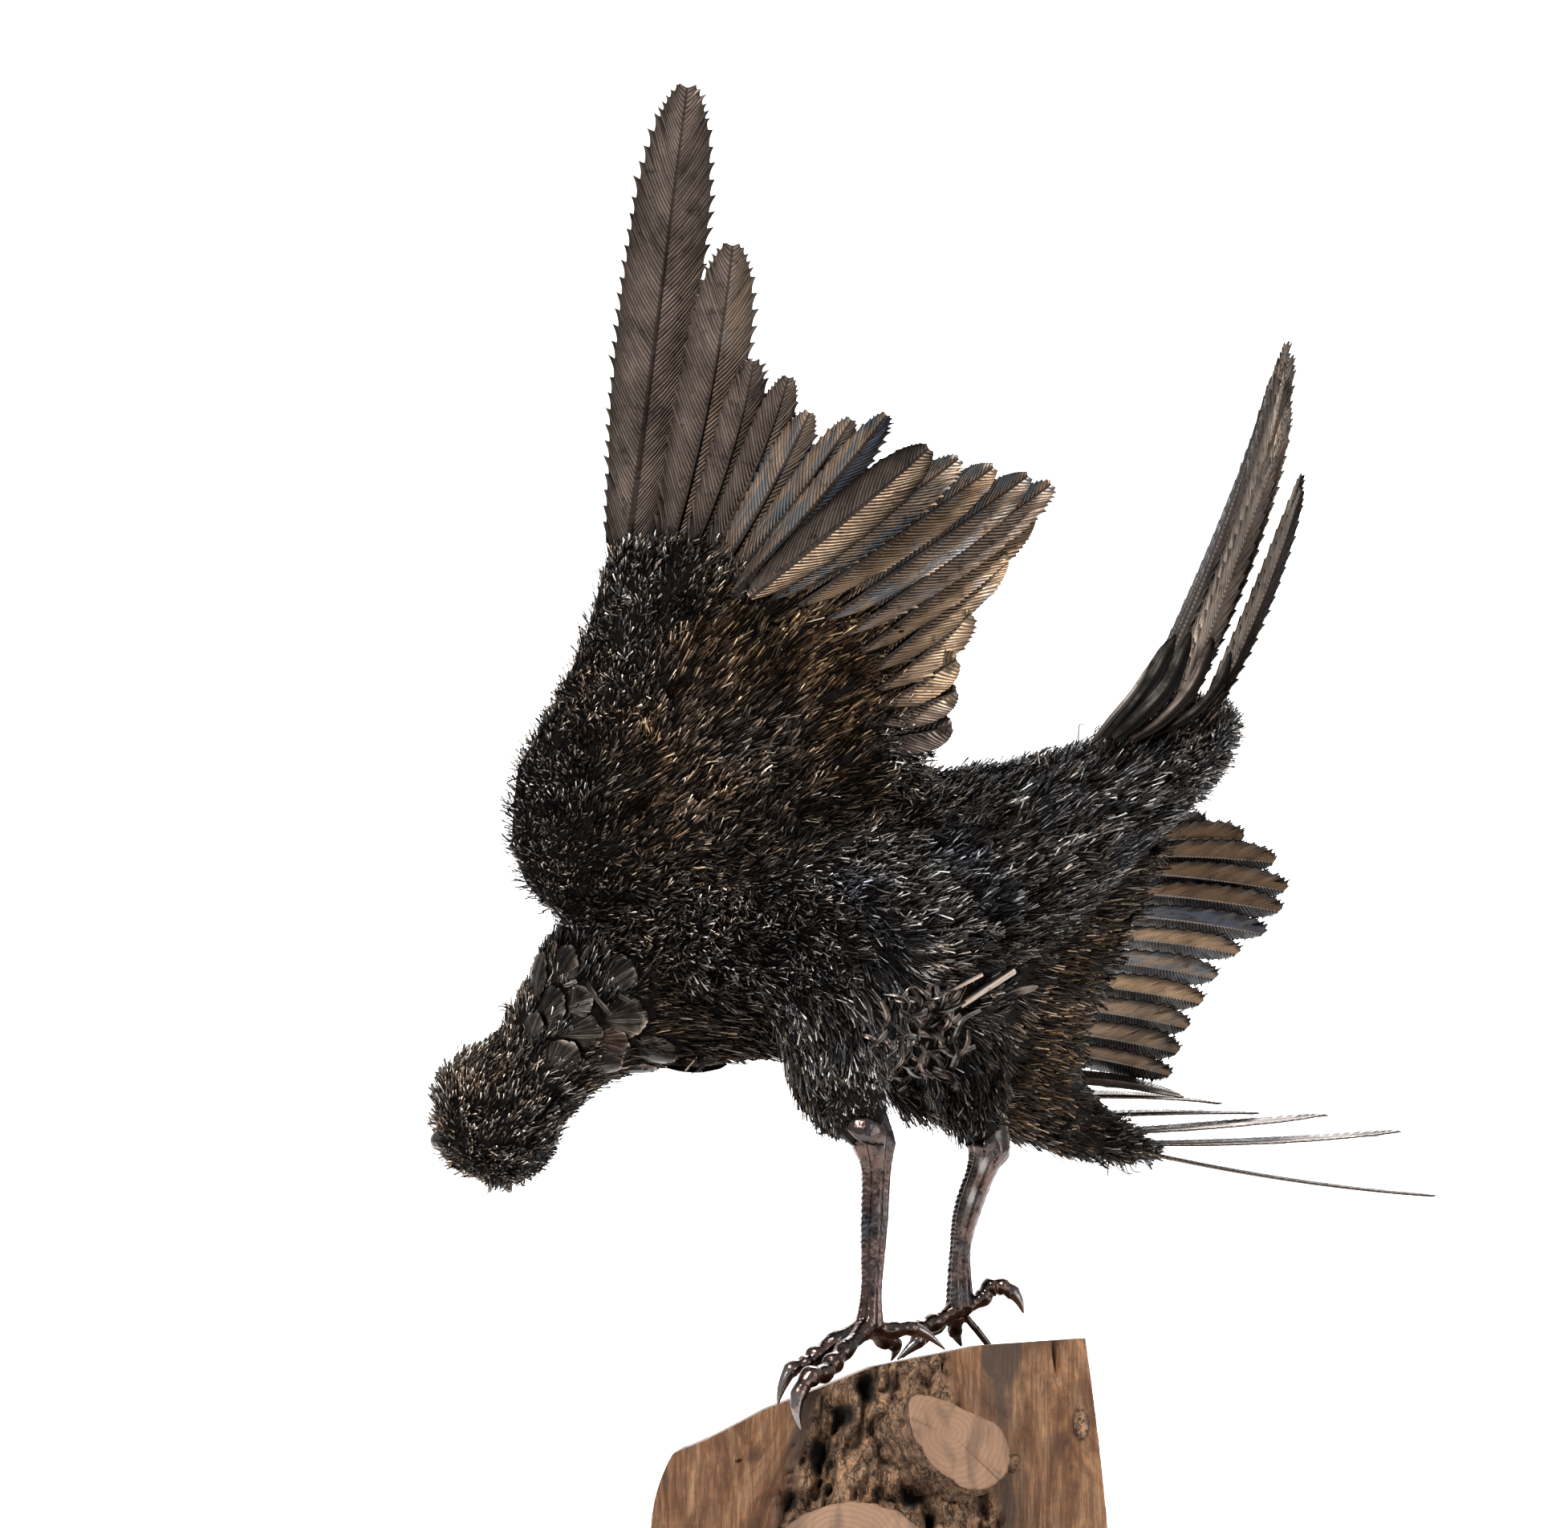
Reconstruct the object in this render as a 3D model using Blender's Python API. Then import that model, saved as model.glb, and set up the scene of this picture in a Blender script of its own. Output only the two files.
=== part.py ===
"""A bird of prey made of cut and chopped steel, landing on a sawn block of trunk.

The near wing is raised, the far wing is spread down and back, the tail is cocked up and the
head is turned away. X runs across the work, Y runs away from the side it is seen from, Z is up,
and the origin is the middle of the block's underside.
"""

import math
from dataclasses import dataclass

import bmesh
import bpy
from mathutils import Vector

# Driving dimensions, in metres
FIGURE_HEIGHT = 0.544       # from the perch to the tip of the longest feather
PERCH_HEIGHT = 0.133        # sawn top of the block under the near foot
BLOCK_WIDTH = 0.200         # across the foot of the block
BLOCK_DEPTH = 0.136
BLOCK_TAPER = 0.87          # width at the top, as a share of the foot
BLOCK_CORNER = 3.2          # how square the block is in plan: 2 is an ellipse
TOP_FALL = 0.055            # how far the sawn top falls from the near foot to the left end
BARK_BULGE = 0.020          # how far the bark stands out of the front face
UPPER_STUB_RADIUS = 0.020   # sawn branch high on the front
LOWER_STUB_RADIUS = 0.034   # sawn branch low on the front
KNOT_RADIUS = 0.008
STUB_REACH = 0.013          # how far a sawn branch stands out of the bark
UPPER_STUB_PLACE = (0.034, 0.101)   # across, and up from the underside
LOWER_STUB_PLACE = (-0.012, 0.046)
KNOT_PLACE = (0.056, 0.093)
SEAT_GAP = 0.0003           # clearance between pieces that touch

VANE_THICKNESS = 0.0008     # feather sheet at its edges
SHAFT_THICKNESS = 0.0019    # feather along its shaft
SHAFT_WIDTH = 0.0024
ROOT_DEPTH = 0.014          # how far a feather's root runs into the wing or the rump

EYE_RADIUS = 0.0048
TARSUS_RADIUS = 0.0052      # the bare leg at half height
KNUCKLE_RADIUS = 0.0078     # the joint at the top of the bare leg
TOE_RADIUS = 0.0033
CLAW_TIP_RADIUS = 0.0007
STRUT_RADIUS = 0.0016       # steel pin that holds the far foot

# The pose is drawn in parts: the figure stands this many parts high over the perch
FIGURE_PARTS = 544
PART = FIGURE_HEIGHT / FIGURE_PARTS

# Grain at which a fused form is melted together, and the triangles kept when it is thinned out
BODY_GRAIN = 0.0040
LEG_GRAIN = 0.0008
BLOCK_GRAIN = 0.0036
BODY_FACES = 2500
LEG_FACES = 500
BLOCK_FACES = 700


def spot(across, deep, up):
    """A point of the figure, in parts from the perch."""
    return Vector((across * PART, deep * PART, PERCH_HEIGHT + up * PART))


# The block's sawn top: share of the width from the middle, and rise over the perch as a share
# of its fall
BLOCK_TOP = ((-0.56, -1.0), (-0.425, -0.655), (-0.22, -0.31), (-0.02, 0.0),
             (0.21, 0.165), (0.56, 0.255))


def block_height():
    """Height of the block at its highest corner."""
    return PERCH_HEIGHT + BLOCK_TOP[-1][1] * TOP_FALL


def block_top(across):
    """Height of the block's sawn top at a distance across it."""
    share = across / BLOCK_WIDTH
    for (left, low), (right, high) in zip(BLOCK_TOP, BLOCK_TOP[1:]):
        if share <= right:
            run = max(0.0, (share - left) / (right - left))
            return PERCH_HEIGHT + (low + run * (high - low)) * TOP_FALL
    return block_height()


def on_block(across, deep, rise):
    """A point of a foot, in parts, with its height over the sawn top below it."""
    return Vector((across * PART, deep * PART, block_top(across * PART) + rise * PART))


def curve_point(points, share):
    """Point on the smooth curve through some points, at a share from first to last."""
    run = min(max(share, 0.0), 1.0) * (len(points) - 1)
    k = min(int(run), len(points) - 2)
    u = run - k
    before = points[max(k - 1, 0)]
    start, end = points[k], points[k + 1]
    after = points[min(k + 2, len(points) - 1)]
    return 0.5 * (2 * start + (end - before) * u
                  + (2 * before - 5 * start + 4 * end - after) * u ** 2
                  + (3 * start - before - 3 * end + after) * u ** 3)


def smooth_values(values, share):
    """The same smooth curve for plain numbers such as radii."""
    return curve_point([Vector((value, 0, 0)) for value in values], share).x


# Making solids

def material(name, colour, roughness, metallic):
    """A plain finish with the piece's own colour."""
    finish = bpy.data.materials.new(name)
    finish.use_nodes = True
    shader = finish.node_tree.nodes["Principled BSDF"]
    shader.inputs["Base Color"].default_value = (*colour, 1.0)
    shader.inputs["Roughness"].default_value = roughness
    shader.inputs["Metallic"].default_value = metallic
    finish.diffuse_color = (*colour, 1.0)
    return finish


def add_object(name, mesh, finish=None):
    """Put a mesh in the scene as a named object."""
    piece = bpy.data.objects.new(name, mesh)
    bpy.context.scene.collection.objects.link(piece)
    if finish:
        mesh.materials.append(finish)
    return piece


def ring_solid(solid, rings):
    """Close rings of equally many points into a body, inside a bmesh."""
    loops = [[solid.verts.new(point) for point in ring] for ring in rings]
    faces = []
    for near, far in zip(loops, loops[1:]):
        count = len(near)
        for k in range(count):
            faces.append(solid.faces.new((near[k], near[(k + 1) % count],
                                          far[(k + 1) % count], far[k])))
    faces.append(solid.faces.new(list(reversed(loops[0]))))
    faces.append(solid.faces.new(loops[-1]))
    bmesh.ops.recalc_face_normals(solid, faces=faces)


def mesh_from(name, solid):
    """Turn a bmesh into a mesh and free it."""
    mesh = bpy.data.meshes.new(name)
    solid.to_mesh(mesh)
    solid.free()
    return mesh


def ellipse_ring(centre, first, second, count=16, power=2.0):
    """Points of an ellipse, squarer with a higher power, around a centre."""
    ring = []
    for k in range(count):
        turn = 2 * math.pi * k / count
        c, s = math.cos(turn), math.sin(turn)
        ring.append(centre + first * math.copysign(abs(c) ** (2 / power), c)
                    + second * math.copysign(abs(s) ** (2 / power), s))
    return ring


def tube_rings(points, radii, steps, sides=10):
    """Rings of a smooth round tube that follows some points."""
    rings = []
    first = (points[1] - points[0]).orthogonal()
    for k in range(steps + 1):
        share = k / steps
        along = (curve_point(points, share + 0.02) - curve_point(points, share - 0.02)).normalized()
        first = (first - along * first.dot(along)).normalized()
        radius = smooth_values(radii, share)
        rings.append(ellipse_ring(curve_point(points, share), first * radius,
                                  along.cross(first) * radius, sides))
    return rings


def applied(piece):
    """Replace an object's mesh by what its modifiers make of it."""
    bpy.context.view_layer.update()
    graph = bpy.context.evaluated_depsgraph_get()
    mesh = bpy.data.meshes.new_from_object(piece.evaluated_get(graph))
    piece.modifiers.clear()
    piece.data = mesh
    return piece


def fuse(piece, grain, smoothing, faces):
    """Melt overlapping bodies into one skin, smooth it and thin out its faces."""
    melt = piece.modifiers.new("melt", "REMESH")
    melt.mode = "VOXEL"
    melt.voxel_size = grain
    ease = piece.modifiers.new("ease", "SMOOTH")
    ease.factor = 0.5
    ease.iterations = smoothing
    applied(piece)
    thin = piece.modifiers.new("thin", "DECIMATE")
    thin.ratio = faces / (2 * len(piece.data.polygons))
    applied(piece)
    return piece


def shade(piece, angle=math.radians(50)):
    """Round shading with sharp edges kept."""
    piece.data.shade_smooth()
    piece.data.set_sharp_from_angle(angle=angle)
    return piece


def clearance_of(piece):
    """A slightly larger copy of a piece, which cuts the seats of what touches it."""
    cutter = add_object(piece.name + "_clearance", piece.data.copy())
    grow = cutter.modifiers.new("grow", "DISPLACE")
    grow.strength = SEAT_GAP
    grow.mid_level = 0.0
    cutter.hide_render = True
    cutter.display_type = "WIRE"
    return cutter


def seat(piece, *cutters):
    """Cut a piece back where it would run into its neighbours."""
    for cutter in cutters:
        cut = piece.modifiers.new("seat", "BOOLEAN")
        cut.operation = "DIFFERENCE"
        cut.solver = "EXACT"
        cut.object = cutter
    return piece


# The feathered body

# Spine: across, deep, up, half height and half depth of the body there
SPINE = ((-163, 9, 112, 22, 23), (-150, 4, 127, 23, 23), (-137, -1, 142, 26, 24),
         (-117, -3, 160, 37, 30), (-87, -2, 176, 47, 38), (-50, 0, 190, 56, 46),
         (-5, 4, 204, 53, 50), (50, 6, 219, 43, 42), (99, 6, 246, 26, 34),
         (128, 4, 268, 22, 34), (146, 3, 274, 15, 25), (153, 3, 273, 7, 12))

HEAD_CENTRE = (-166, 10, 109)
BEAK_WAY = Vector((0.02, 0.83, -0.56)).normalized()
LEFT_WAY = Vector((-0.90, -0.20, -0.35)).normalized()
CROWN_WAY = BEAK_WAY.cross(LEFT_WAY).normalized()
HEAD_SIZE = (34, 27, 28)    # half sizes along the beak, across the eyes and to the crown

# Thighs: across, deep, up and radius
NEAR_THIGH = ((-20, -12, 186, 35), (-19, -20, 150, 29), (-17, -26, 124, 20), (-7, -31, 103, 12),
              (-4, -31, 96, 8))
FAR_THIGH = ((26, 14, 180, 32), (33, 22, 144, 22), (43, 30, 112, 13), (48, 33, 98, 8))

# Wing arms: front edge, rear edge and half thickness
NEAR_ARM = (((-112, -18, 170), (6, -18, 236), 16), ((-143, -30, 194), (20, -30, 256), 14),
            ((-159, -38, 215), (22, -38, 274), 12), ((-161, -44, 238), (21, -43, 290), 11),
            ((-155, -49, 261), (14, -48, 311), 10), ((-141, -54, 284), (0, -54, 328), 9),
            ((-129, -60, 311), (-28, -62, 340), 8), ((-121, -65, 335), (-62, -67, 347), 8),
            ((-115, -67, 348), (-84, -68, 353), 7))
FAR_ARM = (((-16, 18, 146), (100, 18, 238), 14), ((4, 42, 114), (124, 38, 236), 11),
           ((33, 62, 106), (112, 58, 203), 10), ((62, 80, 99), (95, 77, 174), 9),
           ((87, 98, 92), (85, 94, 146), 8), ((111, 114, 91), (93, 108, 124), 7),
           ((128, 128, 93), (114, 123, 106), 6))


def arm_rings(stations, steps=16, count=14):
    """Flat tapered sections of a wing arm, thick in front and thin behind."""
    fronts = [spot(*front) for front, _, _ in stations]
    rears = [spot(*rear) for _, rear, _ in stations]
    halves = [half * PART for _, _, half in stations]
    rings = []
    for k in range(steps + 1):
        share = k / steps
        front, rear = curve_point(fronts, share), curve_point(rears, share)
        chord = rear - front
        span = (curve_point(fronts, share + 0.04) + curve_point(rears, share + 0.04)
                - curve_point(fronts, share - 0.04) - curve_point(rears, share - 0.04))
        across = chord.cross(span).normalized()
        half = smooth_values(halves, share)
        ring = []
        for j in range(count):
            turn = 2 * math.pi * j / count
            along = (1 - math.cos(turn)) / 2
            ring.append(front + chord * along + across * math.sin(turn) * half * (1.15 - 0.55 * along))
        rings.append(ring)
    return rings


def build_body(finish):
    """Head, neck, trunk, thighs, rump and both wing arms as one skin."""
    solid = bmesh.new()
    path = [spot(*station[:3]) for station in SPINE]
    heights = [station[3] * PART for station in SPINE]
    depths = [station[4] * PART for station in SPINE]
    steps = 3 * (len(SPINE) - 1)
    rings = []
    for k in range(steps + 1):
        share = k / steps
        along = curve_point(path, share + 0.02) - curve_point(path, share - 0.02)
        deep = Vector((0, 1, 0))
        rings.append(ellipse_ring(curve_point(path, share),
                                  along.cross(deep).normalized() * smooth_values(heights, share),
                                  deep * smooth_values(depths, share)))
    ring_solid(solid, rings)
    long_way, side_way, crown_way = (size * PART for size in HEAD_SIZE)
    head = []
    for k in range(1, 12):
        turn = math.pi * k / 12
        head.append(ellipse_ring(spot(*HEAD_CENTRE) - BEAK_WAY * long_way * math.cos(turn),
                                 LEFT_WAY * side_way * math.sin(turn),
                                 CROWN_WAY * crown_way * math.sin(turn)))
    ring_solid(solid, head)
    for thigh in (NEAR_THIGH, FAR_THIGH):
        ring_solid(solid, tube_rings([spot(*station[:3]) for station in thigh],
                                     [station[3] * PART for station in thigh], 10, 14))
    for arm in (NEAR_ARM, FAR_ARM):
        ring_solid(solid, arm_rings(arm))
    body = add_object("plumed_body", mesh_from("plumed_body", solid))
    fuse(body, BODY_GRAIN, 3, BODY_FACES)
    body.data.materials.append(finish)
    return shade(body)


def head_point(forward, left, crown):
    """A point in the head's own directions, in parts from its centre."""
    return (spot(*HEAD_CENTRE) + (BEAK_WAY * forward + LEFT_WAY * left + CROWN_WAY * crown) * PART)


def build_beak(finish, cutter):
    """Short hooked beak."""
    line = ((20, 5, 9, 11), (29, 4, 8, 9), (37, 2, 6, 7.5), (44, -1, 4, 5.5), (48, -6, 2.2, 3.2),
            (48, -10, 1, 1.2))
    path = [head_point(forward, 0, crown) for forward, crown, _, _ in line]
    steps = 12
    rings = []
    for k in range(steps + 1):
        share = k / steps
        along = (curve_point(path, share + 0.03) - curve_point(path, share - 0.03)).normalized()
        upward = along.cross(LEFT_WAY).normalized()
        half_wide = smooth_values([row[2] for row in line], share) * PART
        half_high = smooth_values([row[3] for row in line], share) * PART
        rings.append(ellipse_ring(curve_point(path, share), LEFT_WAY * half_wide,
                                  upward * half_high, 10))
    solid = bmesh.new()
    ring_solid(solid, rings)
    return seat(shade(add_object("beak", mesh_from("beak", solid), finish)), cutter)


def build_eye(name, side, finish, cutter):
    """Round bead set in the side of the head."""
    solid = bmesh.new()
    bmesh.ops.create_uvsphere(solid, u_segments=14, v_segments=9, radius=EYE_RADIUS)
    eye = add_object(name, mesh_from(name, solid), finish)
    eye.location = head_point(7, side * 26, 3)
    return seat(shade(eye), cutter)


# Legs and feet

@dataclass
class Leg:
    """A bare leg: its shank from the thigh down to the foot, and the toes around the foot.

    The shank's upper points are parts from the perch; the foot's are parts over the sawn top.
    """

    name: str
    shank: tuple
    foot: tuple
    toes: tuple
    strut: tuple = ()


NEAR_LEG = Leg(
    "near_leg",
    shank=((-4, -31, 108), (-3, -31, 97), (-2, -31, 84), (-3, -32, 56), (-4, -33, 33)),
    foot=(-5, -34, 18),
    toes=(((-17, -40, 18), (-27, -46, 15), (-32, -50, 13), (-38, -54, 13.5), (-42, -57, 8),
           (-44, -59, 1)),
          ((-14, -48, 13), (-20, -57, 9), (-24, -64, 6), (-30, -71, 7), (-35, -76, 2),
           (-36, -78, -6), (-34, -77, -14)),
          ((1, -16, 11), (6, -8, 8), (7, -4, 5), (5, -2, 0)),
          ((4, -31, 14), (13, -27, 13), (20, -25, 9), (28, -23, 1))))
FAR_LEG = Leg(
    "far_leg",
    shank=((50, 33, 106), (49, 33, 96), (46, 33, 87), (39, 34, 67), (36, 35, 49)),
    foot=(36, 37, 18),
    toes=(((26, 32, 14), (19, 28, 12), (17, 26, 7), (13, 24, 4), (8, 22, 0)),
          ((34, 46, 9), (35, 50, 5), (37, 52, 0)),
          ((27, 52, 13), (20, 56, 8), (15, 58, 5), (11, 59, 0)),
          ((45, 40, 20), (49, 41, 24.5), (54, 42, 25), (59, 43, 22), (62, 43, 18), (64, 44, 12.5))),
    strut=((38, 40, 14), (49, 42, -1)))


def build_leg(leg, finish, *cutters):
    """Shank, knuckle, foot, three front toes and a hind toe with their claws, as one skin."""
    solid = bmesh.new()
    foot = on_block(*leg.foot)
    shank = [spot(*point) for point in leg.shank] + [foot]
    radii = (KNUCKLE_RADIUS * 0.8, KNUCKLE_RADIUS, TARSUS_RADIUS * 1.15, TARSUS_RADIUS,
             TARSUS_RADIUS * 0.8, TOE_RADIUS * 1.7)
    ring_solid(solid, tube_rings(shank, radii, 18))
    for toe in leg.toes:
        points = [foot] + [on_block(*point) for point in toe]
        bulges = [TOE_RADIUS * (1.35 - 0.15 * (k % 2)) for k in range(len(points) - 3)]
        tapers = [TOE_RADIUS * 0.95, TOE_RADIUS * 0.62, CLAW_TIP_RADIUS]
        ring_solid(solid, tube_rings(points, bulges + tapers, 14, 8))
    if leg.strut:
        ends = [on_block(*point) for point in leg.strut]
        ring_solid(solid, tube_rings(ends, (STRUT_RADIUS, STRUT_RADIUS), 2, 6))
    piece = add_object(leg.name, mesh_from(leg.name, solid))
    fuse(piece, LEG_GRAIN, 1, LEG_FACES)
    piece.data.materials.append(finish)
    return seat(shade(piece), *cutters)


# Flight and tail feathers

@dataclass
class Fan:
    """A row of feathers: where their roots run, which way they face and how they overlap.

    Each feather is given by its share along the root line, its tip, its width, its bow, its roll
    in degrees and its lift towards the side it faces. Lengths are in parts. A feather faces the
    way given along the row, or as far as it follows the row, square to the row's own surface.
    """

    name: str
    roots: tuple
    facings: tuple
    follows: tuple
    bow_way: tuple
    feathers: tuple
    camber: float = 3.0


NEAR_FAN = Fan(
    "near_wing_feather",
    roots=((-111, -63, 341), (-92, -65, 347), (-73, -67, 345), (-52, -68, 337), (-28, -64, 334),
           (-4, -57, 322), (8, -51, 304), (12, -45, 288), (10, -38, 270)),
    facings=((0, -1, 0), (0, -1, 0)),
    follows=(0, 0),
    bow_way=(1, 0, 0),
    feathers=((0.02, (-82, -104, 544), 32, 0, 8, 0.0), (0.13, (-63, -99, 476), 24, 4, 14, 0.5),
              (0.19, (-54, -92, 427), 20, 4, 18, 0.5), (0.25, (-39, -90, 420), 19, 3, 20, 1.0),
              (0.29, (-30, -88, 405), 18, 2, 20, 1.5), (0.33, (-12, -87, 402), 17, 2, 20, 1.8),
              (0.36, (3, -87, 404), 16, 2, 20, 3.0), (0.41, (21, -87, 389), 22, 1, 0, 5.7),
              (0.46, (34, -80, 386), 19, 1, -16, 2.5), (0.52, (49, -75, 383), 20, 1, -16, 2.0),
              (0.58, (64, -70, 380), 20, 1, -16, 1.5), (0.63, (74, -66, 377), 20, 1, -16, 1.0),
              (0.68, (66, -62, 364), 19, 1, -16, 1.0), (0.73, (54, -59, 348), 20, 1, -14, -0.6),
              (0.79, (39, -54, 322), 20, 1, -14, -1.1), (0.86, (32, -51, 302), 19, 0, -14, -1.8),
              (0.92, (32, -46, 289), 18, 0, -14, -1.8), (1.00, (30, -42, 274), 18, 0, -14, -1.2)))

FAR_FAN = Fan(
    "far_wing_feather",
    roots=((126, 38, 235), (117, 51, 219), (103, 66, 194), (88, 82, 166), (81, 100, 138),
           (94, 114, 113), (121, 123, 97)),
    facings=((0.63, -0.44, -0.64), (0.63, -0.44, -0.64), (0.55, -0.35, -0.75), (0.3, -0.1, -0.95),
             (0.05, 0, -1), (0.05, 0, -1)),
    follows=(1, 1, 1, 0.9, 0, 0),
    bow_way=(0, 0, -1),
    feathers=((0.00, (148, 72, 241), 14, 0, -16, 2.5), (0.06, (166, 98, 236), 18, 0, -16, 1.5),
              (0.12, (181, 116, 227), 19, 0, -16, 0), (0.18, (187, 129, 215), 20, 0, -16, 0),
              (0.24, (185, 136, 206), 20, 0, -16, 0), (0.30, (178, 142, 196), 20, 0, -16, 0),
              (0.36, (166, 145, 187), 20, 0, -16, 0), (0.42, (156, 150, 176), 20, 0, -16, 0),
              (0.48, (150, 157, 165), 20, 0, -16, 0), (0.54, (144, 164, 154), 20, 0, -16, 0),
              (0.60, (140, 172, 143), 20, 0, -16, 0), (0.66, (138, 180, 132), 13, 0, 0, -3.0),
              (0.72, (143, 190, 126), 14, 0, 0, 2.0), (0.78, (160, 204, 121), 18, 1, 0, 0),
              (0.84, (178, 221, 117), 18, 2, 0, 0), (0.90, (211, 240, 117), 18, 4, 0, 0),
              (0.95, (248, 262, 110), 18, 5, 0, 0), (1.00, (263, 240, 79), 17, 6, 0, 0)))

TAIL_FAN = Fan(
    "tail_feather",
    roots=((106, 32, 276), (112, 18, 279), (119, 4, 281), (126, -8, 283), (135, -18, 285),
           (144, -27, 287)),
    facings=((-0.93, 0, 0.36), (-0.93, 0, 0.36)),
    follows=(0, 0),
    bow_way=(0.93, 0, -0.36),
    feathers=((0.00, (174, 70, 428), 19, 7, -14, 0), (0.09, (175, 57, 434), 19, 8, -14, 0),
              (0.17, (176, 44, 440), 20, 9, -14, 0), (0.25, (178, 30, 446), 20, 11, -14, 0),
              (0.33, (180, 16, 451), 20, 13, -14, 0), (0.41, (181, 2, 443), 20, 13, -14, 0),
              (0.49, (180, -12, 431), 20, 12, -14, 0), (0.57, (180, -25, 416), 20, 11, -14, 0),
              (0.65, (178, -38, 402), 19, 10, -14, 0), (0.72, (178, -49, 391), 19, 8, -14, 0),
              (0.92, (181, -61, 382), 18, 3, -14, 0), (1.00, (180, -73, 374), 17, 3, -14, 0)),
    camber=0.0)

# Outline of a vane: share along the feather, and half width as a share of the widest
VANE = ((0.0, 0.42), (0.16, 0.62), (0.36, 0.88), (0.58, 1.0), (0.78, 0.92), (0.92, 0.60), (1.0, 0.14))


def feather_rings(root, tip, width, bow, facing_way, roll):
    """Six-sided sections of a blade: thin at both edges and thicker along its shaft."""
    start = root - (tip - root).normalized() * ROOT_DEPTH
    middle = (start + tip) / 2 + bow
    rings = []
    for share, half in VANE:
        here = start * (1 - share) ** 2 + middle * 2 * share * (1 - share) + tip * share ** 2
        way = ((middle - start) * (1 - share) + (tip - middle) * share).normalized()
        facing = (facing_way - way * facing_way.dot(way)).normalized()
        across = way.cross(facing)
        turn = math.radians(roll * (1.25 - 0.5 * share))
        facing, across = (facing * math.cos(turn) + across * math.sin(turn),
                          across * math.cos(turn) - facing * math.sin(turn))
        reach = max(width * PART * half / 2, SHAFT_WIDTH * 0.7)
        edge = facing * VANE_THICKNESS / 2
        shaft = facing * SHAFT_THICKNESS / 2
        rings.append([here - across * reach - edge, here - shaft, here + across * reach - edge,
                      here + across * reach + edge, here + shaft, here - across * reach + edge])
    return rings


def row_facing(fan, roots, number):
    """Which way a feather of a row faces."""
    share = fan.feathers[number][0]
    given = curve_point([Vector(way) for way in fan.facings], share).normalized()
    before, after = max(number - 1, 0), min(number + 1, len(fan.feathers) - 1)
    sweep = (roots[after] + spot(*fan.feathers[after][1])
             - roots[before] - spot(*fan.feathers[before][1]))
    square = (spot(*fan.feathers[number][1]) - roots[number]).cross(sweep).normalized()
    if square.dot(given) < 0:
        square.negate()
    return given.lerp(square, smooth_values(fan.follows, share)).normalized()


def build_fan(fan, finish, cutter):
    """Every feather of a row as a piece of its own."""
    line = [spot(*point) for point in fan.roots]
    roots = [curve_point(line, feather[0]) for feather in fan.feathers]
    bow_way = Vector(fan.bow_way).normalized()
    for number, (_, tip, width, bow, roll, lift) in enumerate(fan.feathers):
        facing = row_facing(fan, roots, number)
        raised = facing * lift * PART
        bend = (bow_way * bow - facing * fan.camber) * PART * 2
        solid = bmesh.new()
        ring_solid(solid, feather_rings(roots[number] + raised, spot(*tip) + raised, width, bend,
                                        facing, roll))
        name = f"{fan.name}_{number + 1:02d}"
        piece = add_object(name, mesh_from(name, solid), finish)
        seat(shade(piece, math.radians(40)), cutter)


# The block of trunk

def block_ring(height):
    """Plan of the block at a height, a rounded rectangle that tapers upward."""
    tall = block_height()
    narrow = 1 - (1 - BLOCK_TAPER) * (height / tall) ** 1.6
    return ellipse_ring(Vector((0, 0, height)), Vector((BLOCK_WIDTH / 2 * narrow, 0, 0)),
                        Vector((0, BLOCK_DEPTH / 2, 0)), 40, BLOCK_CORNER)


def stub_rings(centre, way, radius, reach, squash):
    """A sawn branch: a short leaning cylinder with a flat end."""
    way = way.normalized()
    first = way.cross(Vector((0, 0, 1))).normalized()
    second = first.cross(way)
    return [ellipse_ring(centre - way * reach * 2.5, first * radius * 1.25, second * radius * 1.25, 14),
            ellipse_ring(centre, first * radius * 1.05, second * radius * squash * 1.05, 14),
            ellipse_ring(centre + way * reach, first * radius, second * radius * squash, 14)]


def build_block(finish):
    """Trunk block with its bark, two sawn branches, a knot and a sloping sawn top."""
    solid = bmesh.new()
    tall = block_height()
    levels = [tall * k / 8 for k in range(9)] + [tall * 1.12]
    ring_solid(solid, [block_ring(level) for level in levels])
    front = -BLOCK_DEPTH / 2
    bark = []
    for k in range(9):
        share = k / 8
        height = PERCH_HEIGHT * (0.02 + 0.92 * share)
        half = BLOCK_WIDTH * (0.25 - 0.12 * share ** 1.5)
        bulge = BARK_BULGE * (1.5 - 0.6 * share)
        middle = Vector((BLOCK_WIDTH * (0.0 + 0.03 * math.sin(3 * share)), front + BARK_BULGE / 2, height))
        bark.append(ellipse_ring(middle, Vector((half, 0, 0)), Vector((0, bulge, 0)), 16))
    ring_solid(solid, bark)
    face = front - BARK_BULGE
    for (across, up), out, way, radius, reach, squash in (
            (UPPER_STUB_PLACE, face + BARK_BULGE * 0.3, (0.42, -1, 0.22), UPPER_STUB_RADIUS, STUB_REACH, 0.85),
            (LOWER_STUB_PLACE, face, (-0.1, -1, 0.35), LOWER_STUB_RADIUS, STUB_REACH, 0.82),
            (KNOT_PLACE, front - BARK_BULGE / 5, (0.3, -1, 0), KNOT_RADIUS, STUB_REACH / 2, 1.0)):
        ring_solid(solid, stub_rings(Vector((across, out, up)), Vector(way), radius, reach, squash))
    block = add_object("plinth", mesh_from("plinth", solid))
    fuse(block, BLOCK_GRAIN, 2, BLOCK_FACES)
    block.data.materials.append(finish)
    seat(block, build_top_saw(), build_foot_saw())
    return shade(applied(block))


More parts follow.
